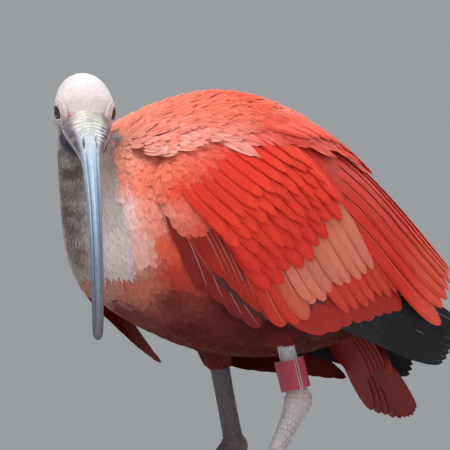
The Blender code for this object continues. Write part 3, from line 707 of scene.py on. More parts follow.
def build_skin():
    work = bmesh.new()
    for name in FLESH:
        work.from_mesh(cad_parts[name].data)
    work.normal_update()
    for vertex in work.verts:
        vertex.co += vertex.normal * JOIN_GROW * MM
    for sign in (1, -1):
        rings = (arm_rings(sign) - MIDDLE) * MM
        made = [[work.verts.new(point) for point in ring] for ring in rings]
        flat = [vertex for ring in made for vertex in ring]
        for face in grid_faces(*rings.shape[:2]):
            work.faces.new([flat[index] for index in face])
    bmesh.ops.recalc_face_normals(work, faces=work.faces)
    mesh = bpy.data.meshes.new("skin")
    work.to_mesh(mesh)
    work.free()
    skin = bpy.data.objects.new("skin", mesh)
    bpy.context.scene.collection.objects.link(skin)
    remeshed(skin, SKIN_VOXEL)
    mesh = skin.data
    places = np.empty(len(mesh.vertices) * 3, np.float32)
    mesh.vertices.foreach_get("co", places)
    places = places.reshape(-1, 3) / MM + MIDDLE
    normals = np.empty(len(mesh.vertices) * 3, np.float32)
    mesh.vertices.foreach_get("normal", normals)
    normals = normals.reshape(-1, 3)
    high = (near_head(places) | on_neck(places))[:, None]
    body, neck = coat_at(places, BODY_ANCHORS), coat_at(places, NECK_ANCHORS)
    colours = np.where(high, neck[0], body[0])
    heights = np.where(high[:, 0], neck[3], body[3])
    bare = bare_share(places)
    depth = (heights * (1 - 0.7 * bare) * 0.9) * (1 - arm_share(places)) + JOIN_GROW
    places = flat_sockets(places - normals * depth[:, None] + face_relief(places))
    mesh.vertices.foreach_set("co", ((places - MIDDLE) * MM).astype(np.float32).ravel())
    mesh.update()
    mesh.shade_smooth()
    mesh.materials.clear()
    mesh.materials.append(SKIN)
    face = face_colour(places)
    # Under the feathers the skin takes the coat's colour darkened to 0.7, painted shade in the gaps between
    # feathers.
    set_tint(skin, colours * 0.7 * (1 - bare[:, None]) + face * bare[:, None])
    dress(skin, "face_skin", *FLESH)
    mesh.calc_loop_triangles()
    triangles = np.empty(len(mesh.loop_triangles) * 3, np.int32)
    mesh.loop_triangles.foreach_get("vertices", triangles)
    return places, triangles.reshape(-1, 3)


def flat_sockets(points):
    """Sinks the skin round each eye, where the lids lie."""
    for sign in (1, -1):
        centre, outward, forward, upward = eye_axes(sign)
        local = points - centre
        height = local @ outward
        reach = np.hypot(local @ forward, local @ upward)
        sunk = np.minimum(height, 1.6)
        share = (1 - smooth(reach, 5.9, 6.8)) * (height > -3)
        points = points + outward * ((sunk - height) * share)[:, None]
    return points


def bare_share(points):
    """1 on the bare face between eye and bill and round the eyes, 0 in the feathers."""
    ahead, side, up = to_head(points).T
    face = smooth(ahead - 0.35 * np.abs(side), 5.5, 7.5)
    face = face * (1 - smooth(up, 5.0, 6.5)) * smooth(up, -16.0, -13.0)
    near = np.full(len(points), 1e9)
    for sign in (1, -1):
        centre = on_head((EYE_PLACE[0], sign * EYE_PLACE[1], EYE_PLACE[2]))
        near = np.minimum(near, np.linalg.norm(points - centre, axis=1))
    close = np.linalg.norm(points - HEAD_CENTRE, axis=1) < 40
    return np.clip(np.maximum(face, 1 - smooth(near, 5.6, 6.6)), 0, 1) * close


def face_colour(points):
    """Dark red between eye and bill, a red line at the brow, and mottled mauve grey to the gape."""
    ahead, side, up = to_head(points).T
    mottle = patches(points, 2.2, 5)[:, None]
    colour = linear((150, 128, 134)) * (0.75 + 0.5 * mottle)
    red = bump_at(up - 0.5 * (np.abs(side) - 11), 0.2, 3.4) * smooth(np.abs(side), 6.5, 9.0)
    blotched = 0.7 + 0.6 * mottle
    colour = washed(colour, linear((116, 36, 48)) * blotched, np.clip(red * 1.15, 0, 1))
    colour = washed(colour, linear((220, 190, 190)), smooth(up, 3.6, 5.4))
    line = bump_at(up, 4.7, 0.75) * smooth(ahead, 11, 13)
    colour = washed(colour, linear((192, 70, 86)), line * 0.85)
    return washed(colour, linear((62, 58, 68)) * blotched, 1 - smooth(up, -12, -7))


def face_relief(points):
    """Brow, hollow of the lores and cheek, as small moves of the skin."""
    local = to_head(points)
    moves = np.zeros_like(points)
    for sign in (1, -1):
        for place, way, size, height in (
            ((9.5, 11.5, 8.0), (0.3, 0.5, 0.8), 4.2, 1.2),
            ((15.5, 9.8, -1.5), (-0.6, -0.8, 0), 3.4, 0.9),
            ((4.0, 14.0, -8.5), (0.1, 1, -0.3), 5.0, 1.0),
        ):
            centre = np.array((place[0], sign * place[1], place[2]))
            push = np.exp(-np.sum((local - centre) ** 2, 1) / size**2) * height
            direction = np.array((way[0], sign * way[1], way[2])) @ HEAD_AXES
            moves += push[:, None] * unit(direction)
    return moves


def scatter(places, triangles, spacing, wanted, seed):
    """Points over a surface, no nearer to each other than the spacing where they are."""
    rng = np.random.default_rng(seed)
    a, b, c = (places[triangles[:, i]] for i in range(3))
    centre = (a + b + c) / 3
    keep = wanted(centre)
    a, b, c, centre = a[keep], b[keep], c[keep], centre[keep]
    area = np.linalg.norm(np.cross(b - a, c - a), axis=1) / 2
    gap = spacing(centre)
    load = np.cumsum(area / gap**2 * 2.6)
    count = int(load[-1])
    pick = np.searchsorted(load, rng.uniform(0, load[-1], count))
    u, v = rng.uniform(size=(2, count, 1))
    over = u + v > 1
    u, v = np.where(over, 1 - u, u), np.where(over, 1 - v, v)
    points = a[pick] + (b - a)[pick] * u + (c - a)[pick] * v
    gap = gap[pick]
    tree = KDTree(count)
    for i, point in enumerate(points):
        tree.insert(point, i)
    tree.balance()
    dropped = np.zeros(count, bool)
    kept = []
    for i in range(count):
        if dropped[i]:
            continue
        kept.append(i)
        for _, j, _ in tree.find_range(points[i], gap[i]):
            dropped[j] = True
    return points[kept]


def snap(tree, points):
    """Nearest points of a surface, with its outward normals."""
    found = [tree.find_nearest(Vector(point)) for point in points]
    return np.array([hit[0] for hit in found]), np.array([hit[1] for hit in found])


def turned(ways, normals, angles):
    return ways * np.cos(angles)[:, None] + np.cross(normals, ways) * np.sin(angles)[:, None]


def walk(tree, roots, lengths, steps, angles):
    """Follows the lie of the coat over a surface. Returns points, normals and sides, (n, steps, 3)."""
    shares = np.diff(np.asarray(steps))
    position = roots
    points, normals, sides = [], [], []
    for i in range(len(steps)):
        position, normal = snap(tree, position)
        way = lie_at(position)
        way = unit(way - normal * dot(way, normal))
        way = turned(way, normal, angles)
        points.append(position)
        normals.append(normal)
        sides.append(unit(np.cross(way, normal)))
        if i < len(shares):
            position = position + way * (lengths * shares[i])[:, None]
    return np.stack(points, 1), np.stack(normals, 1), np.stack(sides, 1)


def varied(colours, points, rng, spread, pale_share, pale, size):
    """Each feather a little lighter or darker, with soft paler patches over the coat."""
    n = len(colours)
    colours = colours * rng.uniform(1 - spread, 1 + spread, (n, 1))
    amount = (patches(points, size, 77) ** 1.5 * pale_share)[:, None] * rng.uniform(0.5, 1.3, (n, 1))
    return colours + (linear(pale) - colours) * np.clip(amount, 0, 1)


# Barbs added to each feather of a kind.
BODY_BARBS = 40
MANTLE_BARBS = 80
COVERT_BARBS = 70
FLIGHT_BARBS = 10
TAIL_BARBS = 80
# Where a vane's sections lie along it, and how wide each one is.
SMALL_STEPS = (0.0, 0.55, 1.0)
SMALL_WIDTHS = (0.55, 1.0)
MID_STEPS = (0.0, 0.3, 0.62, 0.88, 1.0)
MID_WIDTHS = (0.45, 0.95, 1.0, 0.62)


NARROW_COLUMNS = (-1.0, 0.0, 1.0)
# Sizes of a small tuft's and of a large vane's own patch in the baking map.
SMALL_PATCH = 0.003
LARGE_PATCH = 0.006
BARB_SHADES = (0.93, 1.0, 0.93, 1.04)


def add_barbs(coat, rng, ends, normal, section, colours, spread, shades, picks):
    """One sliver for each feather, with a section's half width and height at its root."""
    start, finish = ends
    n = len(start)
    across = unit(np.cross(unit(finish - start), normal))
    widths = np.full((n, 1, 2), section[0]) * rng.uniform(0.7, 1.3, (n, 1, 1))
    crest = np.tile((0.0, section[1], 0.0), (n, 1, 1))
    own = colours * rng.uniform(*spread, (n, 1))
    tint = own[:, None] * np.asarray(shades)[None, :, None]
    line, sides, normals = np.stack([start, finish], 1), np.stack([across] * 2, 1), np.stack([normal] * 2, 1)
    coat.add(line, sides, normals, widths, NARROW_COLUMNS, crest, tint, picks, SMALL_PATCH)


def lay_tufts(coat, tree, roots, anchors, rng, low, high, pale, dark=0.86):
    """One short narrow tuft at every root, lying along the coat."""
    colours, lengths, half, depths = coat_at(roots, anchors)
    n = len(roots)
    lengths = lengths * rng.uniform(0.75, 1.2, n)
    half = half * rng.uniform(0.75, 1.2, n)
    points, normals, sides = walk(tree, roots, lengths, SMALL_STEPS, rng.normal(0, 0.16, n))
    share = np.asarray(SMALL_STEPS)[None]
    lift = low * (1 - share) + (high * depths * rng.uniform(0.7, 1.2, n))[:, None] * share
    points = points + normals * lift[..., None]
    widths = half[:, None, None] * np.asarray(SMALL_WIDTHS)[None, :, None] * np.ones((1, 1, 2))
    crest = np.stack([0 * half, half * 0.45, 0 * half], -1)[:, None] * np.ones((1, 2, 1))
    own = varied(colours, roots, rng, 0.13, *pale)
    # Each tuft darker at its root than at its tip, painted shade where the tufts overlap.
    tint = own[:, None] * (dark + (1.05 - dark) * share)[..., None]
    tint = np.concatenate([np.repeat(tint[:, :-1], 3, axis=1), tint[:, -1:]], 1)
    coat.add(points, sides, normals, widths, NARROW_COLUMNS, crest, tint, rng.uniform(size=n), SMALL_PATCH)


def lay_feathers(coat, tree, roots, sizes, colours, steps, profile, rng, low, high, barbs, soft=(0.9, 1.08)):
    """Soft body feathers: a rounded vane under a fan of fine barbs that frays its edge."""
    lengths, half = sizes
    n, k = len(roots), len(steps)
    lengths = lengths * rng.uniform(0.9, 1.12, n)
    half = half * rng.uniform(0.9, 1.1, n)
    points, normals, sides = walk(tree, roots, lengths, steps, rng.normal(0, 0.09, n))
    share = np.asarray(steps)[None]
    lift = low * (1 - share) + (high * rng.uniform(0.8, 1.2, n))[:, None] * share**1.1
    points = points + normals * lift[..., None]
    widths = half[:, None, None] * np.asarray(profile)[None, :, None] * rng.uniform(0.95, 1.0, (n, k - 1, 2))
    shape = np.asarray(profile)[None, :]
    crest = np.stack([0 * shape, shape * 0.16, 0 * shape], -1) * half[:, None, None]
    # Each feather darker at its root than at its tip, painted shade where the feathers overlap.
    shade = soft[0] + (soft[1] - soft[0]) * share
    tint = colours[:, None] * shade[..., None] * 0.97
    tint = np.concatenate([np.repeat(tint[:, :-1], 3, axis=1), tint[:, -1:]], 1)
    picks = rng.uniform(size=n)
    coat.add(points, sides, normals, widths, NARROW_COLUMNS, crest, tint, picks, SMALL_PATCH)

    line = np.concatenate([points, points[:, -1:] * 2 - points[:, -2:-1]], 1)
    knots = np.append(steps, 2 * steps[-1] - steps[-2])
    outline = np.append(profile, (0.42, 0.1))

    def along(t):
        low_knot = np.clip(np.searchsorted(knots, t, "right") - 1, 0, k - 1)
        mix = ((t - knots[low_knot]) / (knots[low_knot + 1] - knots[low_knot]))[:, None]
        rows = np.arange(n)
        base = np.minimum(low_knot, k - 1)
        return (
            line[rows, low_knot] * (1 - mix) + line[rows, low_knot + 1] * mix,
            normals[rows, base], sides[rows, base], np.interp(t, knots, outline),
        )

    for _ in range(barbs):
        hand = rng.uniform(-1, 1, n)
        begin = rng.uniform(0.12, 0.86, n)
        end = np.minimum(begin + rng.uniform(0.2, 0.42, n), 1.08)
        start, normal, side, wide = along(begin)
        finish, far_normal, far_side, far_wide = along(end)
        start = start + side * (hand * half * wide * 0.45)[:, None]
        start = start + normal * (half * wide * 0.16 * (1 - (hand * 0.45) ** 2) + 0.02)[:, None]
        reach = hand * far_wide * half * rng.uniform(0.95, 1.12, n)
        finish = finish + far_side * reach[:, None]
        finish = finish + far_normal * (half * 0.16 * far_wide * (1 - hand**2) + rng.uniform(0.1, 0.4, n))[:, None]
        # The barbs take the same painted shade, darker toward the feather's root.
        own = colours * (soft[0] + (soft[1] - soft[0]) * end[:, None])
        add_barbs(coat, rng, (start, finish), normal, (0.17, 0.13), own, (0.86, 1.16), BARB_SHADES, picks)


def near_head(points):
    return (np.linalg.norm(points - HEAD_CENTRE, axis=1) < 27) & (points[:, 2] > 219)


def on_neck(points):
    line = np.array([row[:3] for row in NECK[:-1]], float)
    gaps = np.linalg.norm(points[:, None] - line[None], axis=-1) - np.array([row[3] for row in NECK[:-1]])
    return (gaps.min(1) < 3.2) & ~near_head(points) & (points[:, 2] > 150)


def shell_angle(points):
    """Angle in degrees of points on or near the wings' outer surface, mirrored on the right."""
    width, top, middle, bottom = np.moveaxis(curve(WING_SHELL, points[:, 1]), -1, 0)
    rise = points[:, 2] - middle
    rise = rise / np.where(rise > 0, top - middle, middle - bottom)
    return np.degrees(np.arctan2(rise, np.abs(points[:, 0]) / width))


def under_coverts(points):
    """True where the rows of larger wing feathers lie over the arm."""
    angle = shell_angle(points)
    return (arm_share(points) > 0.3) & (points[:, 1] > -14 + (angle + 2) * 1.19)


def under_mantle(points):
    angle = shell_angle(points)
    return (angle > 52) & (points[:, 1] > -26) & (points[:, 1] < 92)


def build_coats(places, triangles):
    tree = BVHTree.FromPolygons([Vector(p) for p in places], triangles.tolist())
    rng = np.random.default_rng(3)
    pale = (0.22, (244, 236, 236), 5.0)

    def feathered(wanted):
        return lambda p: wanted(p) & (bare_share(p) < 0.4)

    def tuft_gap(factor):
        return lambda p: coat_at(p, NECK_ANCHORS)[2] * factor

    roots = scatter(places, triangles, tuft_gap(1.12), feathered(near_head), 11)
    coat = Coat(neck_unwrap)
    lay_tufts(coat, tree, roots, NECK_ANCHORS, rng, -0.15, 1.0, pale, 0.94)
    coat.make("coat_head", COAT_DOWN, "neck_feathers")

    for name, wanted, seed in (
        ("coat_neck_upper", lambda p: on_neck(p) & (p[:, 2] >= 196), 12),
        ("coat_neck_lower", lambda p: on_neck(p) & (p[:, 2] < 196), 15),
    ):
        roots = scatter(places, triangles, tuft_gap(0.98), feathered(wanted), seed)
        coat = Coat(neck_unwrap)
        lay_tufts(coat, tree, roots, NECK_ANCHORS, rng, -0.2, 1.0, (0.3, (214, 204, 200), 3.4))
        coat.make(name, COAT_DOWN, "neck_feathers")

    def body(points):
        return ~near_head(points) & ~on_neck(points) & ~under_coverts(points) & ~under_mantle(points)

    for name, wanted, seed in (
        ("coat_breast_left", lambda p: body(p) & (p[:, 1] < -18) & (p[:, 0] >= 0), 13),
        ("coat_breast_right", lambda p: body(p) & (p[:, 1] < -18) & (p[:, 0] < 0), 16),
        ("coat_flank_left", lambda p: body(p) & (p[:, 1] >= -18) & (p[:, 0] >= 0), 14),
        ("coat_flank_right", lambda p: body(p) & (p[:, 1] >= -18) & (p[:, 0] < 0), 17),
    ):
        roots = scatter(places, triangles, lambda p: coat_at(p, BODY_ANCHORS)[2] * 0.72, wanted, seed)
        coat = Coat(body_unwrap)
        colours, lengths, half, _ = coat_at(roots, BODY_ANCHORS)
        share = 0.27 * smooth(roots[:, 2], 152, 186)
        own = varied(colours, roots, rng, 0.07, share, (252, 206, 194), 12.0)
        sizes = (lengths, half)
        lay_feathers(coat, tree, roots, sizes, own, MID_STEPS, MID_WIDTHS, rng, -0.4, 1.0, BODY_BARBS)
        coat.make(name, COAT_SOFT, "body_feathers")


def shell_mesh():
    places = np.linspace(-56, 200, 70)
    turns = np.radians(np.linspace(-90, 270, 97))
    points = shell_point(places[:, None], turns[None] + 0 * places[:, None], 0 * turns[None])
    faces = []
    columns = len(turns)
    for i in range(len(places) - 1):
        for j in range(columns - 1):
            a = i * columns + j
            faces += [(a, a + columns, a + 1), (a + 1, a + columns, a + columns + 1)]
    return points.reshape(-1, 3), np.array(faces)


LONG_STEPS = (0.0, 0.18, 0.38, 0.58, 0.76, 0.9, 1.0)
LONG_WIDTHS = (0.45, 0.8, 1.0, 1.0, 0.85, 0.55)


def build_mantle():
    """Long soft plumes over the shoulders, down to the crease over the wing."""
    places, triangles = shell_mesh()
    tree = BVHTree.FromPolygons([Vector(p) for p in places], triangles.tolist())
    rng = np.random.default_rng(21)

    def wanted(points):
        angle = shell_angle(points)
        edge = 43 + 10 * smooth(points[:, 1], 20, 80)
        return (angle > edge) & (points[:, 1] > -47) & (points[:, 1] < 84)

    def long_half(points):
        back = smooth(points[:, 1], -50, 5)
        return 13 + 19 * back, 3.2 + 2.2 * back

    roots = scatter(places, triangles, lambda p: long_half(p)[1] * 0.75, wanted, 22)
    for name, pick in (("mantle_left", roots[:, 0] >= 0), ("mantle_right", roots[:, 0] < 0)):
        chosen = roots[pick]
        coat = Coat(body_unwrap)
        own = varied(coat_at(chosen, BODY_ANCHORS)[0], chosen, rng, 0.06, 0.62, (253, 214, 204), 17.0)
        sizes = long_half(chosen)
        lay_feathers(
            coat, tree, chosen, sizes, own, LONG_STEPS, LONG_WIDTHS, rng, -4.5, -0.6, MANTLE_BARBS, (0.92, 1.05)
        )
        coat.make(name, COAT_SOFT, "body_feathers")


FLIGHT_STEPS = (0.0, 0.08, 0.17, 0.26, 0.35, 0.44, 0.53, 0.62, 0.7, 0.78, 0.85, 0.91, 0.96, 0.985, 1.0)
FLIGHT_WIDTHS = (0.3, 0.55, 0.78, 0.92, 1.0, 1.0, 1.0, 1.0, 0.98, 0.93, 0.84, 0.7, 0.48, 0.28)
COVERT_WIDTHS = (0.35, 0.6, 0.8, 0.93, 1.0, 1.0, 0.99, 0.95, 0.88, 0.78, 0.66, 0.52, 0.34, 0.2)
FLIGHT_COLUMNS = (-1.0, -0.7, -0.35, -0.06, 0.0, 0.06, 0.35, 0.7, 1.0)

# Tiers of wing feathers from the lowest layer out: count, then root, bend and tip of the first and
# of the last feather, each a place along Y and an angle on the shell, then half width, the height
# over the shell at root and tip, tilt, how far the tips scatter, and the colours of base, tip and
# shaft with the share of the length where the tip's colour begins.
# The hand, secondaries and edge coverts low on the wing are a darker red: the feathers' own red darkened as
# painted shade under the folded wing.
WING_TIERS = {
    "hand": (4, (-38, -4), (-12, -22), (-24, -26), (6, -38), (-6, -44), (32, -52), 7.0, -8.5, -6.0, 0.8, 0.8,
             (136, 30, 22), (128, 28, 22), (206, 176, 168), 0.6),
    "primaries": (8, (44, -36), (60, -14), (110, -38), (118, -20), (184, -42), (198, -2), 6.8, -10.0, -8.0, 0.9,
                  0.5, (22, 22, 29), (17, 17, 23), (160, 178, 186), 0.5),
    "secondaries": (8, (14, -26), (60, 10), (40, -38), (90, -8), (80, -46), (136, -20), 8.6, -8.0, -5.6, 1.0,
                    0.8, (146, 26, 20), (176, 40, 28), (170, 64, 52), 0.5),
    "edge_coverts": (8, (-32, 0), (4, -12), (-16, -18), (18, -28), (2, -35), (42, -47), 7.6, -6.6, -3.6, 0.9,
                     1.6, (158, 30, 22), (182, 42, 30), (206, 150, 140), 0.6),
    "inner_secondaries": (9, (34, -6), (72, 26), (64, -18), (104, 10), (88, -34), (142, -6), 8.0, -7.0, -3.4, 1.0,
                          1.6, (190, 38, 27), (218, 62, 44), (226, 96, 76), 0.5),
    "greater_coverts": (11, (6, -16), (50, 28), (22, -32), (68, 9), (45, -46), (101, -9), 6.8, -6.0, -2.6, 1.0,
                        4.0, (214, 54, 38), (228, 124, 100), (236, 150, 128), 0.36),
    "median_coverts": (10, (-8, -6), (44, 38), (8, -22), (58, 20), (28, -32), (78, 8), 7.0, -5.0, -1.6, 0.9,
                       4.0, (218, 42, 30), (228, 50, 34), (234, 84, 64), 0.6),
    "lower_coverts": (10, (-12, 0), (40, 42), (1, -16), (52, 25), (20, -27), (70, 12), 6.8, -4.8, -1.0, 0.9,
                      3.0, (222, 44, 31), (230, 52, 35), (236, 84, 62), 0.6),
    "lesser_coverts": (11, (-20, 2), (34, 45), (-5, -13), (45, 29), (12, -23), (62, 16), 6.4, -4.6, -0.6, 0.9,
                       2.6, (224, 46, 32), (232, 54, 36), (238, 86, 64), 0.6),
    "small_coverts": (11, (-26, 6), (26, 46), (-12, -9), (38, 34), (3, -19), (54, 21), 5.8, -4.3, -0.2, 0.8,
                      2.4, (226, 48, 33), (234, 57, 38), (240, 90, 66), 0.6),
    "wrist_coverts": (10, (-32, 8), (18, 46), (-20, -4), (29, 36), (-7, -14), (44, 25), 5.2, -4.0, 0.1, 0.7,
                      2.2, (228, 50, 34), (236, 60, 40), (240, 94, 70), 0.6),
    "tertials": (9, (58, 16), (64, 76), (104, 0), (112, 78), (170, -14), (194, 68), 8.8, -7.0, -1.6, 1.1,
                 3.0, (222, 42, 28), (234, 82, 58), (242, 134, 108), 0.66),
    "scapulars": (8, (-2, 50), (66, 76), (28, 48), (96, 76), (60, 38), (130, 66), 8.4, -4.5, 0.2, 0.9,
                  3.0, (232, 58, 38), (240, 84, 60), (242, 120, 96), 0.5),
}


# The right wing hangs lower than the left one, and its shaded rows are darker.
RIGHT_TIERS = {
    **WING_TIERS,
    "hand": (8, (-38, -6), (-14, -28), (-30, -32), (-6, -52), (-22, -52), (10, -67), 8.4, -5.0, 3.0, 0.8, 0.8,
             (142, 26, 20), (156, 32, 24), (176, 62, 50), 0.6),
    "secondaries": (8, (14, -28), (60, 4), (40, -50), (90, -30), (80, -61), (140, -58), 8.6, -8.0, -5.6, 1.0,
                    0.8, (82, 14, 11), (90, 18, 14), (104, 34, 28), 0.5),
    "greater_coverts": (11, (6, -16), (50, 28), (22, -34), (68, 10), (42, -47), (96, -7), 6.8, -6.0, -2.6, 1.0,
                        4.0, (214, 54, 38), (228, 124, 100), (236, 150, 128), 0.36),
}


def on_shell(root, bend, tip, low, high):
    """Lines over the wing's surface by place and angle. Returns points, normals and sides."""
    t = np.asarray(FLIGHT_STEPS)[None, :, None]
    path = (1 - t) ** 2 * root[:, None] + 2 * t * (1 - t) * bend[:, None] + t**2 * tip[:, None]
    out = low + (high - low) * t[..., 0] + 0 * path[..., 0]
    place, angle = path[..., 0], np.radians(path[..., 1])
    small = 0.01
    here = shell_point(place, angle, out)
    around = shell_point(place, angle + small, out) - here
    onward = shell_point(place + small, angle, out) - here
    normal = unit(np.cross(onward, around))
    ahead = unit(np.gradient(here, axis=1))
    return here, normal, unit(np.cross(ahead, normal))


def frayed(rng, n, rings, share):
    """Width factors for both edges, with a few splits in the vane."""
    edge = rng.uniform(0.985, 1.0, (n, rings, 2))
    for _ in range(2):
        split = rng.integers(rings // 3, rings, (n, 2))
        deep = rng.uniform(0.78, 0.94, (n, 2))
        used = rng.uniform(size=(n, 2)) < share
        for side in (0, 1):
            rows = np.nonzero(used[:, side])[0]
            edge[rows, split[rows, side], side] *= deep[rows, side]
    return edge


def flight_vanes(coat, line, half, tilt, colours, rng, profile=FLIGHT_WIDTHS, barbs=0):
    """Broad vanes with a raised shaft along given lines, with a fringe of barbs when asked for."""
    points, normals, sides = line
    base, tip, shaft, begins = colours
    n, k = points.shape[:2]
    rings = k - 1
    columns = np.asarray(FLIGHT_COLUMNS)
    profile = np.asarray(profile)
    widths = half[:, None, None] * profile[None, :, None] * frayed(rng, n, rings, 0.3)
    lean = unit(sides + normals * (tilt / half)[:, None, None])
    crest = half[:, None, None] * 0.12 * (1 - columns**2) + (np.abs(columns) < 0.05) * 0.22
    crest = crest * profile[None, :, None]
    share = np.asarray(FLIGHT_STEPS)
    mix_tip = smooth(share[None, :-1] + rng.uniform(-0.06, 0.06, (n, 1)), begins, begins + 0.25)
    body = base[:, None] + (tip - base)[:, None] * mix_tip[..., None]
    # Each vane a little darker toward its root, painted shade under the feathers that overlap it.
    body = body * rng.uniform(0.92, 1.08, (n, 1, 1)) * (0.84 + 0.18 * share[None, :-1, None])
    tint = np.repeat(body[:, :, None], len(columns), 2)
    tint = tint * (1 + 0.06 * np.abs(columns) ** 3)[None, None, :, None]
    spine = (np.abs(columns) < 0.05)[None, None, :, None]
    fading = 0.1 + 0.5 * share[None, :-1, None, None]
    tint = np.where(spine, shaft + (body[:, :, None] - shaft) * fading, tint)
    tint = np.concatenate([tint.reshape(n, -1, 3), tint[:, -1, 0][:, None]], 1)
    picks = rng.uniform(size=n)
    coat.add(points, lean, normals, widths, FLIGHT_COLUMNS, crest, tint, picks, LARGE_PATCH)
    rows = np.arange(n)
    for _ in range(barbs):
        begin = rng.uniform(4.0, k - 2.6, n)
        onward = np.minimum(begin + rng.uniform(1.4, 3.0, n), k - 1.02)
        hand = np.where(rng.uniform(size=n) < 0.5, -1.0, 1.0)
        i, j = begin.astype(int), onward.astype(int)
        start = points[rows, i] + (points[rows, i + 1] - points[rows, i]) * (begin - i)[:, None]
        finish = points[rows, j] + (points[rows, j + 1] - points[rows, j]) * (onward - j)[:, None]
        edge = np.append(profile, 0.12)
        near = np.interp(begin, np.arange(k), edge) * half * rng.uniform(0.5, 0.8, n) * hand
        far = np.interp(onward, np.arange(k), edge) * half * rng.uniform(0.95, 1.14, n) * hand
        start = start + lean[rows, i] * near[:, None] + normals[rows, i] * (half * 0.07)[:, None]
        finish = finish + lean[rows, j] * far[:, None] + normals[rows, j] * rng.uniform(0.05, 0.3, (n, 1))
        own = body[rows, np.minimum(j, k - 2)]
        ends, normal = (start, finish), normals[rows, i]
        add_barbs(coat, rng, ends, normal, (0.2, 0.12), own, (0.92, 1.16), (1, 1, 1, 1), picks)


def build_wing(side, sign, seed):
    rng = np.random.default_rng(seed)
    flight, coverts = Coat(body_unwrap), Coat(body_unwrap)
    for name, row in (WING_TIERS if sign > 0 else RIGHT_TIERS).items():
        count, ends, (half, low, high, tilt, scatter_tips) = row[0], np.array(row[1:7], float), row[7:12]
        base, tip, shaft = (np.tile(linear(colour), (count, 1)) for colour in row[12:15])
        t = np.linspace(0, 1, count)[:, None]
        root, bend, end = (ends[i] + (ends[i + 1] - ends[i]) * t for i in (0, 2, 4))
        onward = unit((end - bend) * (1.0, 1.1))
        end = end + onward * rng.uniform(-1, 0.6, (count, 1)) * scatter_tips * 1.5
        end = end + rng.uniform(-0.5, 0.5, (count, 2)) * min(scatter_tips, 2.0)
        points, normals, sides = on_shell(root, bend, end, low, high)
        if sign < 0:
            points = points * (-1, 1, 1) + RIGHT_WING_DROOP
            normals = normals * (-1, 1, 1)
            sides = -sides * (-1, 1, 1)
            tilt = -tilt
        halves = half * rng.uniform(0.9, 1.1, count)
        if name == "greater_coverts":
            tip = base + (tip - base) * smooth(t, 0.1, 0.3)
        colours = (base, tip, shaft[:1], row[15])
        if name in ("hand", "primaries", "secondaries"):
            lines = (points, normals, sides)
            flight_vanes(flight, lines, halves, tilt, colours, rng, FLIGHT_WIDTHS, FLIGHT_BARBS)
        else:
            round_tips = name in ("greater_coverts", "tertials")
            profile = FLIGHT_WIDTHS if round_tips else COVERT_WIDTHS
            flight_vanes(coverts, (points, normals, sides), halves, tilt, colours, rng, profile, COVERT_BARBS)
    flight.make("flight_" + side, COAT_FLIGHT, "wing_feathers", "wing_" + side)
    coverts.make("coverts_" + side, COAT_VANE, "wing_feathers")


def build_tail():
    """Two layers of tail feathers with shorter coverts over and under them."""
    rng = np.random.default_rng(41)
    down = np.array((0.0, math.cos(TAIL_DROP), -math.sin(TAIL_DROP)))
    face = np.array((0.0, math.sin(TAIL_DROP), math.cos(TAIL_DROP)))
    coat = Coat(tail_unwrap)
    steps = np.asarray(FLIGHT_STEPS)
    # The reds darken from the top layer down to the coverts under the tail, painted shade under the body.
    for count, fan, start_at, length, half, height, colour in (
        (10, 12.0, -4.0, 97.0, 8.0, 0.0, (112, 13, 13)),
        (9, 11.0, -10.0, 76.0, 7.5, 3.4, (130, 17, 15)),
        (9, 12.0, -16.0, 58.0, 7.5, 6.5, (166, 28, 20)),
        (9, 11.0, -8.0, 66.0, 7.5, -3.6, (112, 16, 15)),
        (9, 13.0, -14.0, 46.0, 7.5, -7.0, (104, 16, 14)),
    ):
        share = np.linspace(-1, 1, count)
        angle = np.radians(fan) * share
        ahead = down * np.cos(angle)[:, None] + np.array((1.0, 0, 0)) * np.sin(angle)[:, None]
        lift = 2.2 * (1 - np.abs(share)) * math.copysign(1, height + 0.1) - 1.0 + height
        start = TAIL_ROOT + down * start_at + share[:, None] * np.array((3.0 + abs(height) * 0.8, 0, 0))
        start = start + face * lift[:, None]
        reach = length * (1 - 0.07 * share**2) * rng.uniform(0.985, 1.0, count)
        points = start[:, None] + ahead[:, None] * (reach[:, None] * steps)[..., None]
        sag = 3.0 * steps**2 + height * 0.75 * steps
        points = points - face * sag[None, :, None]
        normals = np.tile(face, (count, len(steps), 1))
        sides = unit(np.cross(np.repeat(ahead[:, None], len(steps), 1), normals))
        base = np.tile(linear(colour), (count, 1))
        colours = (base, base * 1.2, linear((120, 30, 28))[None], 0.6)
        halves = half * rng.uniform(0.95, 1.05, count)
        flight_vanes(coat, (points, normals, sides), halves, 0.35, colours, rng, FLIGHT_WIDTHS, TAIL_BARBS)
    coat.make("tail_vanes", COAT_FLIGHT, "tail_feathers", "tail")


def bill_arc(places):
    """Points of the mouth line at lengths along the bill, with its upward axis at each."""
    places = np.asarray(places, float)
    steps = 40
    step = (places / steps)[:, None]
    spots = np.tile(on_head((BILL_ROOT[0], 0, BILL_ROOT[1])), (len(places), 1))
    for k in range(steps):
        share = np.maximum((k + 0.5) * step, 0) / BILL_LENGTH
        angle = BILL_DROOP_START + (BILL_DROOP_END - BILL_DROOP_START) * share**1.15
        spots = spots + (AHEAD * np.cos(angle) - ABOVE * np.sin(angle)) * step
    return spots, AHEAD * np.sin(angle) + ABOVE * np.cos(angle)


def colour_along(stops, place):
    """Colours from rows of place and display colour."""
    places = [row[0] for row in stops]
    colours = np.array([linear(row[1]) for row in stops])
    return np.stack([np.interp(place, places, colours[:, i]) for i in range(3)], -1)


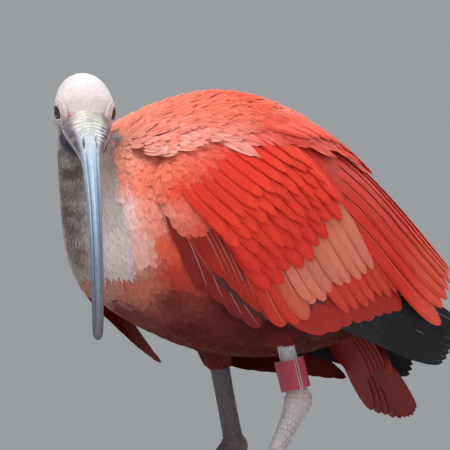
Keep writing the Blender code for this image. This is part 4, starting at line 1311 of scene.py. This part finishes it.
UPPER_COLOURS = (
    (-8, (150, 130, 128)),
    (0, (196, 192, 184)),
    (12, (196, 192, 188)),
    (26, (184, 192, 196)),
    (42, (160, 182, 200)),
    (70, (122, 148, 172)),
    (100, (104, 120, 142)),
    (128, (92, 96, 112)),
    (149, (84, 78, 78)),
)
LOWER_COLOURS = (
    (-8, (96, 84, 88)),
    (4, (74, 78, 90)),
    (24, (60, 70, 88)),
    (70, (76, 88, 106)),
    (149, (76, 72, 74)),
)


# How far the corner of the mouth stands out at the bill's base.
GAPE_FLARE = 6.2


def bill_rings(upper):
    """Fine sections of one mandible, with their distance along it and turn round it."""
    length = BILL_LENGTH - (0.0 if upper else 2.0)
    places = np.concatenate([
        np.linspace(-8, 34, 106),
        np.linspace(34, length - 4, 96)[1:],
        length - np.array((3.2, 2.4, 1.6, 0.9, 0.4, 0.1)),
    ])
    turn = np.radians(np.linspace(0, 180, 53))[None]
    width, above, below = np.moveaxis(curve(BILL, places), -1, 0)[..., None]
    close = np.sqrt(np.clip(1 - ((places - (length - 4)) / 4).clip(0, 1) ** 2, 0.001, 1))[:, None]
    place = places[:, None]
    crown = np.degrees(turn)
    flare = GAPE_FLARE * (1 - smooth(place, 8, 44)) * smooth(place, -9, -4)
    flare = flare * np.cos(turn) * np.abs(np.cos(turn)) ** 1.6
    if upper:
        depth = 0.15 * smooth(place, 33, 44) * (1 - smooth(place, 134, 146))
        groove = 1 - depth * (bump_at(crown, 50, 9) + bump_at(crown, 130, 9))
        ridge = 1 + 0.045 * bump_at(crown, 90, 16) * smooth(place, 20, 36)
        across = width * groove * np.cos(turn) + flare
        rise = above * groove * ridge * np.sin(turn) ** 0.88 + 0.1
    else:
        groove = 1 - 0.13 * bump_at(crown, 90, 14) * smooth(place, 6, 14) * (1 - smooth(place, 62, 80))
        across = width * 0.98 * np.cos(turn) + flare * 1.04
        rise = -below * groove * np.sin(turn) ** 0.95 - 0.1
    return places, place, crown, across * close, rise * close, length


def build_bill():
    for upper, name in ((True, "upper_bill_horn"), (False, "lower_bill_horn")):
        places, place, crown, across, rise, length = bill_rings(upper)
        spots, ups = bill_arc(places)
        base = 1 - smooth(place, 14, 34)
        creases = np.sin(place * 2.3 + 1.1 * np.sin(np.radians(crown) * 5 + place * 0.3))
        lumps = np.sin(np.radians(crown) * 9 + place * 0.55) * np.sin(place * 0.9 - np.radians(crown) * 4)
        out = base * (0.22 * creases + 0.16 * lumps) + 0.05 * np.sin(np.radians(crown) * 26) * (1 - base)
        stops = UPPER_COLOURS if upper else LOWER_COLOURS
        tint = colour_along(stops, place + 0 * crown)
        tint = tint * (1 + 0.10 * (lumps * creases * base)[..., None])
        if upper:
            cheek = smooth(np.abs(crown - 90), 42, 56) * (1 - smooth(place, 18, 42))
            speckle = 0.75 + 0.5 * (0.5 + 0.5 * lumps * creases)
            tint = washed(tint, linear((128, 112, 120)) * speckle[..., None], cheek)
            deep = smooth(np.abs(crown - 90), 48, 66) * bump_at(place, 27, 13)
            tint = washed(tint, linear((52, 58, 74)), deep * 0.85)
            blotch = np.sin(place * 0.55 + crown * 0.045) + np.sin(place * 0.31 - crown * 0.083 + 1.7)
            tint = washed(tint, linear((188, 178, 146)), base * smooth(blotch, 0.5, 1.7) * 0.5)
            tint = washed(tint, linear((150, 140, 146)), base * smooth(-blotch, 0.5, 1.8) * 0.5)
            # Each nostril: a pale raised rim round a slit painted near black, painted shade inside the opening.
            for middle in (54, 126):
                hand = 1 if middle < 90 else -1
                apart = np.hypot((place - 30) / 4.4, (crown - middle - hand * (30 - place) * 0.8) / 6.0)
                slit = np.exp(-(apart**4))
                rim = bump_at(apart, 1.5, 0.36)
                out += rim * 0.42 - slit * 1.5
                tint = washed(tint, linear((214, 216, 212)), rim * 0.6)
                tint = washed(tint, linear((22, 20, 22)), slit)
            edge = bump_at(np.minimum(crown, 180 - crown), 2, 6) * (1 - smooth(place, 34, 44))
            tint = washed(tint, linear((206, 196, 192)), edge * 0.8)
            # Painted shade darkens the two side grooves, and a painted highlight lightens the ridge along the top.
            painted_groove_shade = (bump_at(crown, 50, 8) + bump_at(crown, 130, 8)) * smooth(place, 34, 46)
            tint = tint * (1 - 0.42 * painted_groove_shade[..., None] * (1 - smooth(place, 120, 145))[..., None])
            crest = bump_at(crown, 90, 20) * smooth(place, 24, 40)
            tint = tint * (1 + 0.16 * crest[..., None])
        facing = np.stack([np.cos(np.radians(crown)), (1 if upper else -1) * np.sin(np.radians(crown))], -1)
        end = np.clip((length - place) / 4, 0, 1)
        across = across + out * facing[..., 0] * end
        rise = rise + out * facing[..., 1] * end
        points = spots[:, None] + ASIDE * across[..., None] + ups[:, None] * rise[..., None]
        grid_piece(name, points, HORN, tint, "bill", "bill_upper" if upper else "bill_lower")


def eye_axes(sign):
    """An eye's centre, with its outward, forward and upward axes."""
    centre = on_head((EYE_PLACE[0], sign * EYE_PLACE[1], EYE_PLACE[2]))
    outward = unit(np.array((EYE_OUTWARD[0], sign * EYE_OUTWARD[1], EYE_OUTWARD[2]))) @ HEAD_AXES
    forward = unit(AHEAD - outward * np.dot(AHEAD, outward))
    return centre, outward, forward, np.cross(outward, forward) * sign


def build_eyes():
    turn = np.linspace(0, 2 * math.pi, 49)[:-1]
    for sign, side in ((1, "left"), (-1, "right")):
        centre, outward, forward, upward = eye_axes(sign)
        polar = np.radians(np.concatenate([[1.5], np.linspace(5, 178, 40)]))
        around = forward * np.cos(turn)[:, None] + upward * np.sin(turn)[:, None]
        rings = centre + EYE_RADIUS * (
            outward * np.cos(polar)[:, None, None] + around[None] * np.sin(polar)[:, None, None]
        )
        angle = np.degrees(polar)[:, None] + 0 * turn[None]
        pupil = 1 - smooth(angle, 24, 27)
        brown = np.broadcast_to(linear((44, 22, 15)), angle.shape + (3,))
        ray = 1 + 0.25 * np.sin(turn * 24)[None, :, None] * np.sin(turn * 7 + 1)[None, :, None]
        tint = brown * ray * (1 - smooth(angle, 34, 46))[..., None] + linear((14, 11, 11))
        tint = tint * (1 - pupil[..., None]) + linear((6, 6, 7)) * pupil[..., None]
        grid_piece("eyeball_" + side, rings, EYE, tint, "eye", "eye_" + side)

        # Round the lid's section: distance out from the opening, height over the skin, and painted shade, darker
        # in the folds, at the opening and under the rim.
        profile = (
            (-0.45, -1.2, 0.16), (-0.05, 0.12, 0.2), (0.2, 0.62, 0.42), (0.55, 0.95, 0.85), (0.95, 1.0, 1.0),
            (1.3, 0.55, 0.5), (1.65, 0.78, 0.85), (2.1, 0.72, 1.0), (2.45, 0.28, 0.55), (2.8, 0.42, 0.85),
            (3.3, 0.3, 1.0), (3.8, -0.25, 0.9), (4.2, -1.2, 0.6), (3.4, -2.6, 0.4), (1.4, -3.2, 0.3),
            (-0.3, -2.6, 0.2),
        )
        corner = np.abs(np.cos(turn)) ** 5
        long_axis = 3.8 + 0.7 * corner
        short_axis = np.where(np.sin(turn) > 0, 3.3, 3.45) - 0.3 * corner
        flat = np.stack([long_axis * np.cos(turn), short_axis * np.sin(turn)], -1)
        away = unit(np.stack([np.cos(turn) / long_axis, np.sin(turn) / short_axis], -1))
        brow = 1 + 0.45 * np.clip(np.sin(turn), 0, 1)
        wrinkle = 0.10 * np.sin(turn * 17 + 0.8) + 0.06 * np.sin(turn * 29)
        rings, tints = [], []
        for k, (out, rise, shade) in enumerate(profile):
            spot = flat + away * (out * (0.7 + 0.3 * brow))[:, None]
            reach = np.linalg.norm(spot, axis=-1)
            skin = 3.5 - reach**2 / 34
            ball = np.sqrt(np.clip(EYE_RADIUS**2 - reach**2, 0.2, None))
            height = skin + rise * np.where(rise > 0, brow, 1.0) + wrinkle * (2 < k < 12)
            if k < 3:
                height = np.maximum(height, ball + (-1.0, 0.08, 0.45)[k])
            rings.append(centre + forward * spot[:, :1] + upward * spot[:, 1:] + outward * height[:, None])
            tints.append(np.tile(linear((222, 202, 202)) * shade, (len(turn), 1)))
        rings.append(rings[0])
        tints.append(tints[0])
        grid_piece("eyelid_" + side, rings, SKIN, tints, "face_skin", caps=(False, False))


def tube_rings(points, radii, sides, flatten=1.0, ends=(None, None)):
    """Round sections along a line, each square to it, with the outward direction of every point."""
    points = np.asarray(points, float)
    ahead = np.gradient(points, axis=0)
    if ends[0] is not None:
        ahead[0] = ends[0]
    if ends[1] is not None:
        ahead[-1] = ends[1]
    ahead = unit(ahead)
    side = unit(np.cross(ahead[0], (0, -1, 0.2)))
    turn = np.linspace(0, 2 * math.pi, sides, endpoint=False)
    rings, outward = [], []
    for i, point in enumerate(points):
        side = unit(side - ahead[i] * np.dot(side, ahead[i]))
        other = np.cross(ahead[i], side)
        spoke = side * np.cos(turn)[:, None] * flatten + other * np.sin(turn)[:, None]
        ring = point + spoke * radii[i]
        rings.append(ring)
        outward.append(unit(spoke))
    return np.array(rings), np.array(outward), turn


def smoothed(points, radii, count):
    """More points on the curve through a limb's own, with their radii and distance along it."""
    points, radii = np.asarray(points, float), np.asarray(radii, float)
    index = np.linspace(0, len(points) - 1, count)
    table = np.column_stack([np.arange(len(points)), points, radii])
    rows = curve(table, index)
    steps = np.linalg.norm(np.diff(rows[:, :3], axis=0), axis=1)
    return rows[:, :3], rows[:, 3], np.concatenate([[0], np.cumsum(steps)])


def grounded(rings):
    """The rings pressed flat where they would pass through the floor."""
    return np.concatenate([rings[..., :2], np.maximum(rings[..., 2:], 0.0)], -1)


def plate_gap(along, around, long, wide):
    """Distance in millimetres to the border of staggered six-sided plates."""
    scale = np.array((long, wide))
    spot = np.stack([along, around + 0 * along], -1) / scale
    best = np.full(along.shape, 9.0)
    second = best.copy()
    for row in (-1, 0, 1, 2):
        line = np.floor(spot[..., 0]) + row
        for column in (-1, 0, 1, 2):
            cell = np.floor(spot[..., 1]) + column
            middle = np.stack([line + 0.5, cell + 0.5 * (line % 2)], -1)
            seed = np.sin(line * 12.9898 + cell * 78.233) * 43758.5453
            jitter = (seed - np.floor(seed)) - 0.5
            middle = middle + jitter[..., None] * np.array((0.22, 0.16))
            gap = np.linalg.norm((spot - middle) * scale, axis=-1)
            second = np.where(gap < best, best, np.minimum(second, gap))
            best = np.minimum(best, gap)
    return (second - best) / 2


# The right leg's dark grey is the left leg's pale grey darkened as painted shade.
LEG_COLOURS = {"left": (182, 172, 174), "right": (88, 76, 81)}


def leg_tint(side, groove, seed):
    base = linear(LEG_COLOURS[side])
    rough = np.sin(seed * 3.1) * np.sin(seed * 7.7 + 1.0)
    shade = (1 + 0.08 * rough)[..., None]
    return base * shade * (1 - 0.38 * groove[..., None])


SHANK_RADII = {"left": (5.2, 5.0, 5.4, 5.8), "right": (5.8, 5.5, 5.6, 6.0)}


def build_shank(side):
    """The bare leg above the ankle, with long shallow plates and furrows."""
    end, ankle = np.array(THIGH_END[side], float), np.array(ANKLE[side], float)
    down = unit(ankle - end)
    start, finish = end - down * 3.0, ankle - down * (ANKLE_RADIUS - 3.0)
    share = np.array((0, 0.4, 0.8, 1.0))[:, None]
    points, radii, far = smoothed(start + (finish - start) * share, SHANK_RADII[side], 70)
    rings, out, turn = tube_rings(points, radii, 44, ends=(down, down))
    around = turn[None] * 5.1 + 0 * far[:, None]
    gap = plate_gap(far[:, None] + 0 * around, around, 6.2, 2.67)
    groove = np.exp(-((gap / 0.32) ** 2)) * (0.6 + 0.4 * np.cos(turn * 2)[None] ** 2)
    furrow = 0.12 * np.sin(turn * 9 + 0.5)[None] + 0.06 * np.sin(turn * 23)[None]
    rings = rings + out * (furrow - 0.26 * groove)[..., None]
    tint = leg_tint(side, groove, rings[..., 2] + around)
    grid_piece("shank_" + side, rings, SCALES, tint, "leg_skin", "tibia_" + side)


def build_shin(side):
    """The ankle with its wrinkles and the scaled shin below it."""
    end, ankle, foot = (np.array(place[side], float) for place in (THIGH_END, ANKLE, FOOT))
    down, shin = unit(ankle - end), unit(foot - ankle)
    join = ankle - down * (ANKLE_RADIUS - 0.6)
    line = [
        join + down * 0.2, ankle - down * 3.5, ankle + (shin - down) * 0.8, ankle + shin * 7, ankle + shin * 14,
        ankle + (foot - ankle) * 0.35, ankle + (foot - ankle) * 0.7, ankle + (foot - ankle) * 0.93,
    ]
    radii = (6.2, 7.9, 8.5, 7.2, 6.0, 5.2, 4.6, 5.0)
    points, radii, far = smoothed(line, radii, 190)
    rings, out, turn = tube_rings(points, radii, 52, 0.86)
    far = far[:, None] + 0 * turn[None]
    around = turn[None] * 5.0 + 0 * far
    gap = plate_gap(far, around, 3.3, 2.244)
    low = smooth(far, 12, 20)
    plates = np.exp(-((gap / 0.3) ** 2)) * (0.35 + 0.65 * low)
    wave = far + 0.5 * np.sin(turn * 3 + 1)[None] + 0.3 * np.sin(turn * 7)[None]
    folds = np.exp(-(((wave % 1.45) - 0.72) ** 2) / 0.05) * smooth(far, 1.5, 4) * (1 - low)
    groove = np.clip(plates * low + folds * 0.9 + plates * 0.3 * (1 - low), 0, 1)
    rings = rings + out * (-0.3 * groove + 0.05 * np.sin(around * 5 + far * 3))[..., None]
    tint = leg_tint(side, groove, rings[..., 2] * 0.7 + around)
    # On the right leg the pink at the ankle is halved, painted shade as for its grey.
    pink = bump_at(far, 4, 3.5) * 0.45
    tint = washed(tint, linear((168, 130, 128)) * (1 if side == "left" else 0.5), pink)
    grid_piece("shin_" + side, rings, SCALES, tint, "leg_skin", "tarsus_" + side)


def toe_line(side, angle, length):
    """A toe's centre line from the foot's joint outward, as in the part's source."""
    outward = 1 if side == "left" else -1
    yaw = math.radians(TOE_YAW[side]) + outward * math.radians(angle)
    direction = np.array((math.sin(yaw), -math.cos(yaw), 0.0))
    foot = np.array(FOOT[side], float) + (0, -TOE_FORWARD, 0)
    share = np.array((0.0, 0.16, 0.34, 0.5, 0.56, 0.72, 0.78, 0.94, 1.0))
    points = foot + direction * (length * share)[:, None]
    points[:, 2] = TOE_REST + (foot[2] - 3.0 - TOE_REST) * np.maximum(0.0, 1 - share / 0.3) ** 1.5
    return points, direction


SCUTE_PITCH = 3.4


def build_foot(side):
    foot = np.array(FOOT[side], float)
    ankle = np.array(ANKLE[side], float)
    shin = unit(foot - ankle)
    join = ankle + (foot - ankle) * 0.93
    line = [
        join - shin * 0.5, join + shin * 1.2, foot + (0, -1, -1.0), foot + (0, -TOE_FORWARD, -4.0),
        foot + (0, -TOE_FORWARD, 0.4 - foot[2]),
    ]
    points, radii, far = smoothed(line, (5.0, 5.0, 5.2, 5.4, 4.8), 44)
    rings, out, turn = tube_rings(points, radii, 44)
    rings = grounded(rings)
    far = far[:, None] + 0 * turn[None]
    groove = np.exp(-((plate_gap(far, turn[None] * 4.9 + 0 * far, 2.6, 2.2) / 0.3) ** 2))
    lifted = rings[..., 2] > 0.4
    rings = grounded(rings - out * (0.26 * groove * lifted)[..., None])
    tint = leg_tint(side, groove, far * 2 + turn[None] * 5)
    grid_piece("foot_scales_" + side, rings, SCALES, tint, "leg_skin", "foot_" + side)
    for name, angle, length, radius in TOES:
        points, direction = toe_line(side, angle, length)
        swell = (1.15, 1.0, 0.92, 1.05, 1.05, 0.88, 0.92, 0.72, 0.5)
        line, radii, far = smoothed(points, [radius * value for value in swell], int(length * 2.2))
        rings, out, turn = tube_rings(line, radii, 28)
        far = far[:, None] + 0 * turn[None]
        above = smooth(out[..., 2], -0.1, 0.45)
        scutes = np.exp(-(((far % SCUTE_PITCH) - SCUTE_PITCH / 2) / 0.34) ** 2) * above
        pads = np.exp(-((plate_gap(far, turn[None] * radius, 1.5, radius * 2 * math.pi / 14) / 0.22) ** 2))
        groove = np.clip(scutes + pads * (1 - above) * 0.7, 0, 1)
        step = ((far / SCUTE_PITCH) + 0.5) % 1
        rise = 0.22 * step * above - 0.3 * groove
        rings = grounded(rings + out * rise[..., None])
        tint = leg_tint(side, groove, far + turn[None] * 3)
        grid_piece(f"toe_scales_{name}_{side}", rings, SCALES, tint, "leg_skin", f"toe_{name}_{side}")
        build_claw(f"nail_{name}_{side}", points[-1], direction, radius, f"claw_{name}_{side}")


def build_claw(name, tip, direction, radius, replaced):
    share = np.linspace(0, 1, 26)
    spine = tip + direction * (CLAW_LENGTH * share[:, None] - 0.6)
    drop = np.where(share < 0.4, 0.3 * share / 0.4, 0.3 - (share - 0.4) ** 1.4 * (tip[2] + 0.1) * 1.7)
    spine[:, 2] = np.maximum(tip[2] + drop, 0.32)
    radii = radius * 0.47 * (1 - share**2.2 * 0.86)
    rings, out, turn = tube_rings(spine, radii, 18)
    rings = grounded(rings)
    ridge = 0.05 * np.sin(share * 60)[:, None] * (1 - share)[:, None]
    rings = grounded(rings + out * ridge[..., None])
    tint = linear((52, 46, 46)) * (0.8 + 0.7 * share[:, None, None]) * np.ones((1, len(turn), 1))
    grid_piece(name, rings, CLAW, tint, "claw", replaced)


def build_band():
    """The split leg ring, with rounded rims that show its pale core."""
    ankle, end = np.array(ANKLE["left"], float), np.array(THIGH_END["left"], float)
    down = unit(ankle - end)
    side = unit(np.cross(down, (0, 1, 0)))
    back = np.cross(side, down)
    bottom = ankle - down * (ANKLE_RADIUS - 0.6)
    half_slit = BAND_SLIT / BAND_INNER / 2
    steps = np.linspace(0, 1, 97)
    turn = BAND_OPEN_AT + half_slit + (2 * math.pi - 2 * half_slit) * steps
    spoke = side * np.cos(turn)[:, None] + back * np.sin(turn)[:, None]
    soft = 0.35
    profile, pale = [], []
    for height in np.linspace(soft, BAND_HEIGHT - soft, 18):
        profile.append((BAND_WALL, height))
        pale.append(0.0)
    top = BAND_HEIGHT
    profile += [
        (BAND_WALL - 0.1, top - 0.1), (BAND_WALL - soft, top), (soft, top), (0.1, top - 0.1), (0, top - soft),
        (0, soft), (0.1, 0.1), (soft, 0), (BAND_WALL - soft, 0), (BAND_WALL - 0.1, 0.1),
    ]
    pale += [0.55, 1, 1, 0.7, 0.2, 0.2, 0.7, 1, 1, 0.55]
    profile, pale = np.array(profile), np.array(pale)
    lip = np.minimum(steps, 1 - steps)
    flare = 0.35 * np.exp(-((lip / 0.02) ** 2)) * (steps > 0.5)
    out = BAND_INNER + profile[None, :, :1] + flare[:, None, None]
    points = bottom - down * (0.4 + profile[None, :, 1:]) + spoke[:, None] * out
    edge = (lip < 0.004).astype(float)[:, None]
    amount = np.maximum(pale[None], edge * 0.9)
    tint = washed(linear((158, 44, 66)), linear((206, 186, 186)), amount)
    grid_piece("band_ring", points, BAND, tint, "band", "leg_band")


FLOOR_SIZE = 6.0
FLOOR_DROP = 0.0004
SKY_COLOUR = (0.72, 0.76, 0.78, 1)
SKY_STRENGTH = 0.45
# Soft lights: name, place and size in metres, power.
LIGHTS = (
    ("key", (0.5, -0.9, 1.9), 1.1, 34),
    ("fill", (1.8, -0.4, 0.7), 1.2, 9),
    ("rim", (-0.6, 1.2, 1.6), 0.9, 14),
)
LIGHTS_AIM = Vector((0, 0, 0.15))


def build_stage():
    floor = bpy.data.meshes.new("floor")
    work = bmesh.new()
    bmesh.ops.create_grid(work, x_segments=1, y_segments=1, size=FLOOR_SIZE)
    work.to_mesh(floor)
    work.free()
    ground = bpy.data.objects.new("floor", floor)
    bpy.context.scene.collection.objects.link(ground)
    finish, tree, shader = new_finish("pale_floor", 0.8)
    place = node(tree, "ShaderNodeTexCoord").outputs["Object"]
    grey = ranged(tree, noise(tree, place, 3.0), 0.3, 0.7, 0.56, 0.6)
    tree.links.new(grey, shader.inputs["Base Color"])
    floor.materials.append(finish)
    ground.location.z = -FLOOR_DROP

    world = bpy.data.worlds.new("studio")
    bpy.context.scene.world = world
    world.use_nodes = True
    sky = world.node_tree.nodes["Background"].inputs
    sky["Color"].default_value = SKY_COLOUR
    sky["Strength"].default_value = SKY_STRENGTH

    for name, place, size, power in LIGHTS:
        data = bpy.data.lights.new(name, "AREA")
        data.size = size
        data.energy = power
        lamp = bpy.data.objects.new(name, data)
        lamp.location = place
        lamp.rotation_mode = "QUATERNION"
        lamp.rotation_quaternion = (Vector(place) - LIGHTS_AIM).to_track_quat("Z", "Y")
        bpy.context.scene.collection.objects.link(lamp)


CAMERA_AZIMUTH = math.radians(55)
CAMERA_ELEVATION = math.radians(-5)
CAMERA_DISTANCE = 1600.0
PIXEL = 0.57
FRAME_PIXELS = 450
CAMERA_TARGET = np.array((15.86, 22.64, 180.1))


def build_camera():
    data = bpy.data.cameras.new("camera")
    data.sensor_width = 36.0
    data.lens = 36.0 * CAMERA_DISTANCE / (FRAME_PIXELS * PIXEL)
    camera = bpy.data.objects.new("camera", data)
    level = math.cos(CAMERA_ELEVATION)
    toward = Vector((
        math.sin(CAMERA_AZIMUTH) * level,
        -math.cos(CAMERA_AZIMUTH) * level,
        math.sin(CAMERA_ELEVATION),
    ))
    camera.location = Vector((CAMERA_TARGET - MIDDLE) * MM) + toward * CAMERA_DISTANCE * MM
    camera.rotation_mode = "QUATERNION"
    camera.rotation_quaternion = toward.to_track_quat("Z", "Y")
    data.clip_start = 0.05
    bpy.context.scene.collection.objects.link(camera)
    bpy.context.scene.camera = camera


SKIN_PLACES, SKIN_TRIANGLES = build_skin()
build_coats(SKIN_PLACES, SKIN_TRIANGLES)
build_mantle()
build_wing("left", 1, 31)
build_wing("right", -1, 32)
build_tail()
build_bill()
build_eyes()
for side in ("left", "right"):
    build_shank(side)
    build_shin(side)
    build_foot(side)
build_band()
build_stage()
build_camera()
bpy.context.scene.view_settings.view_transform = "Standard"
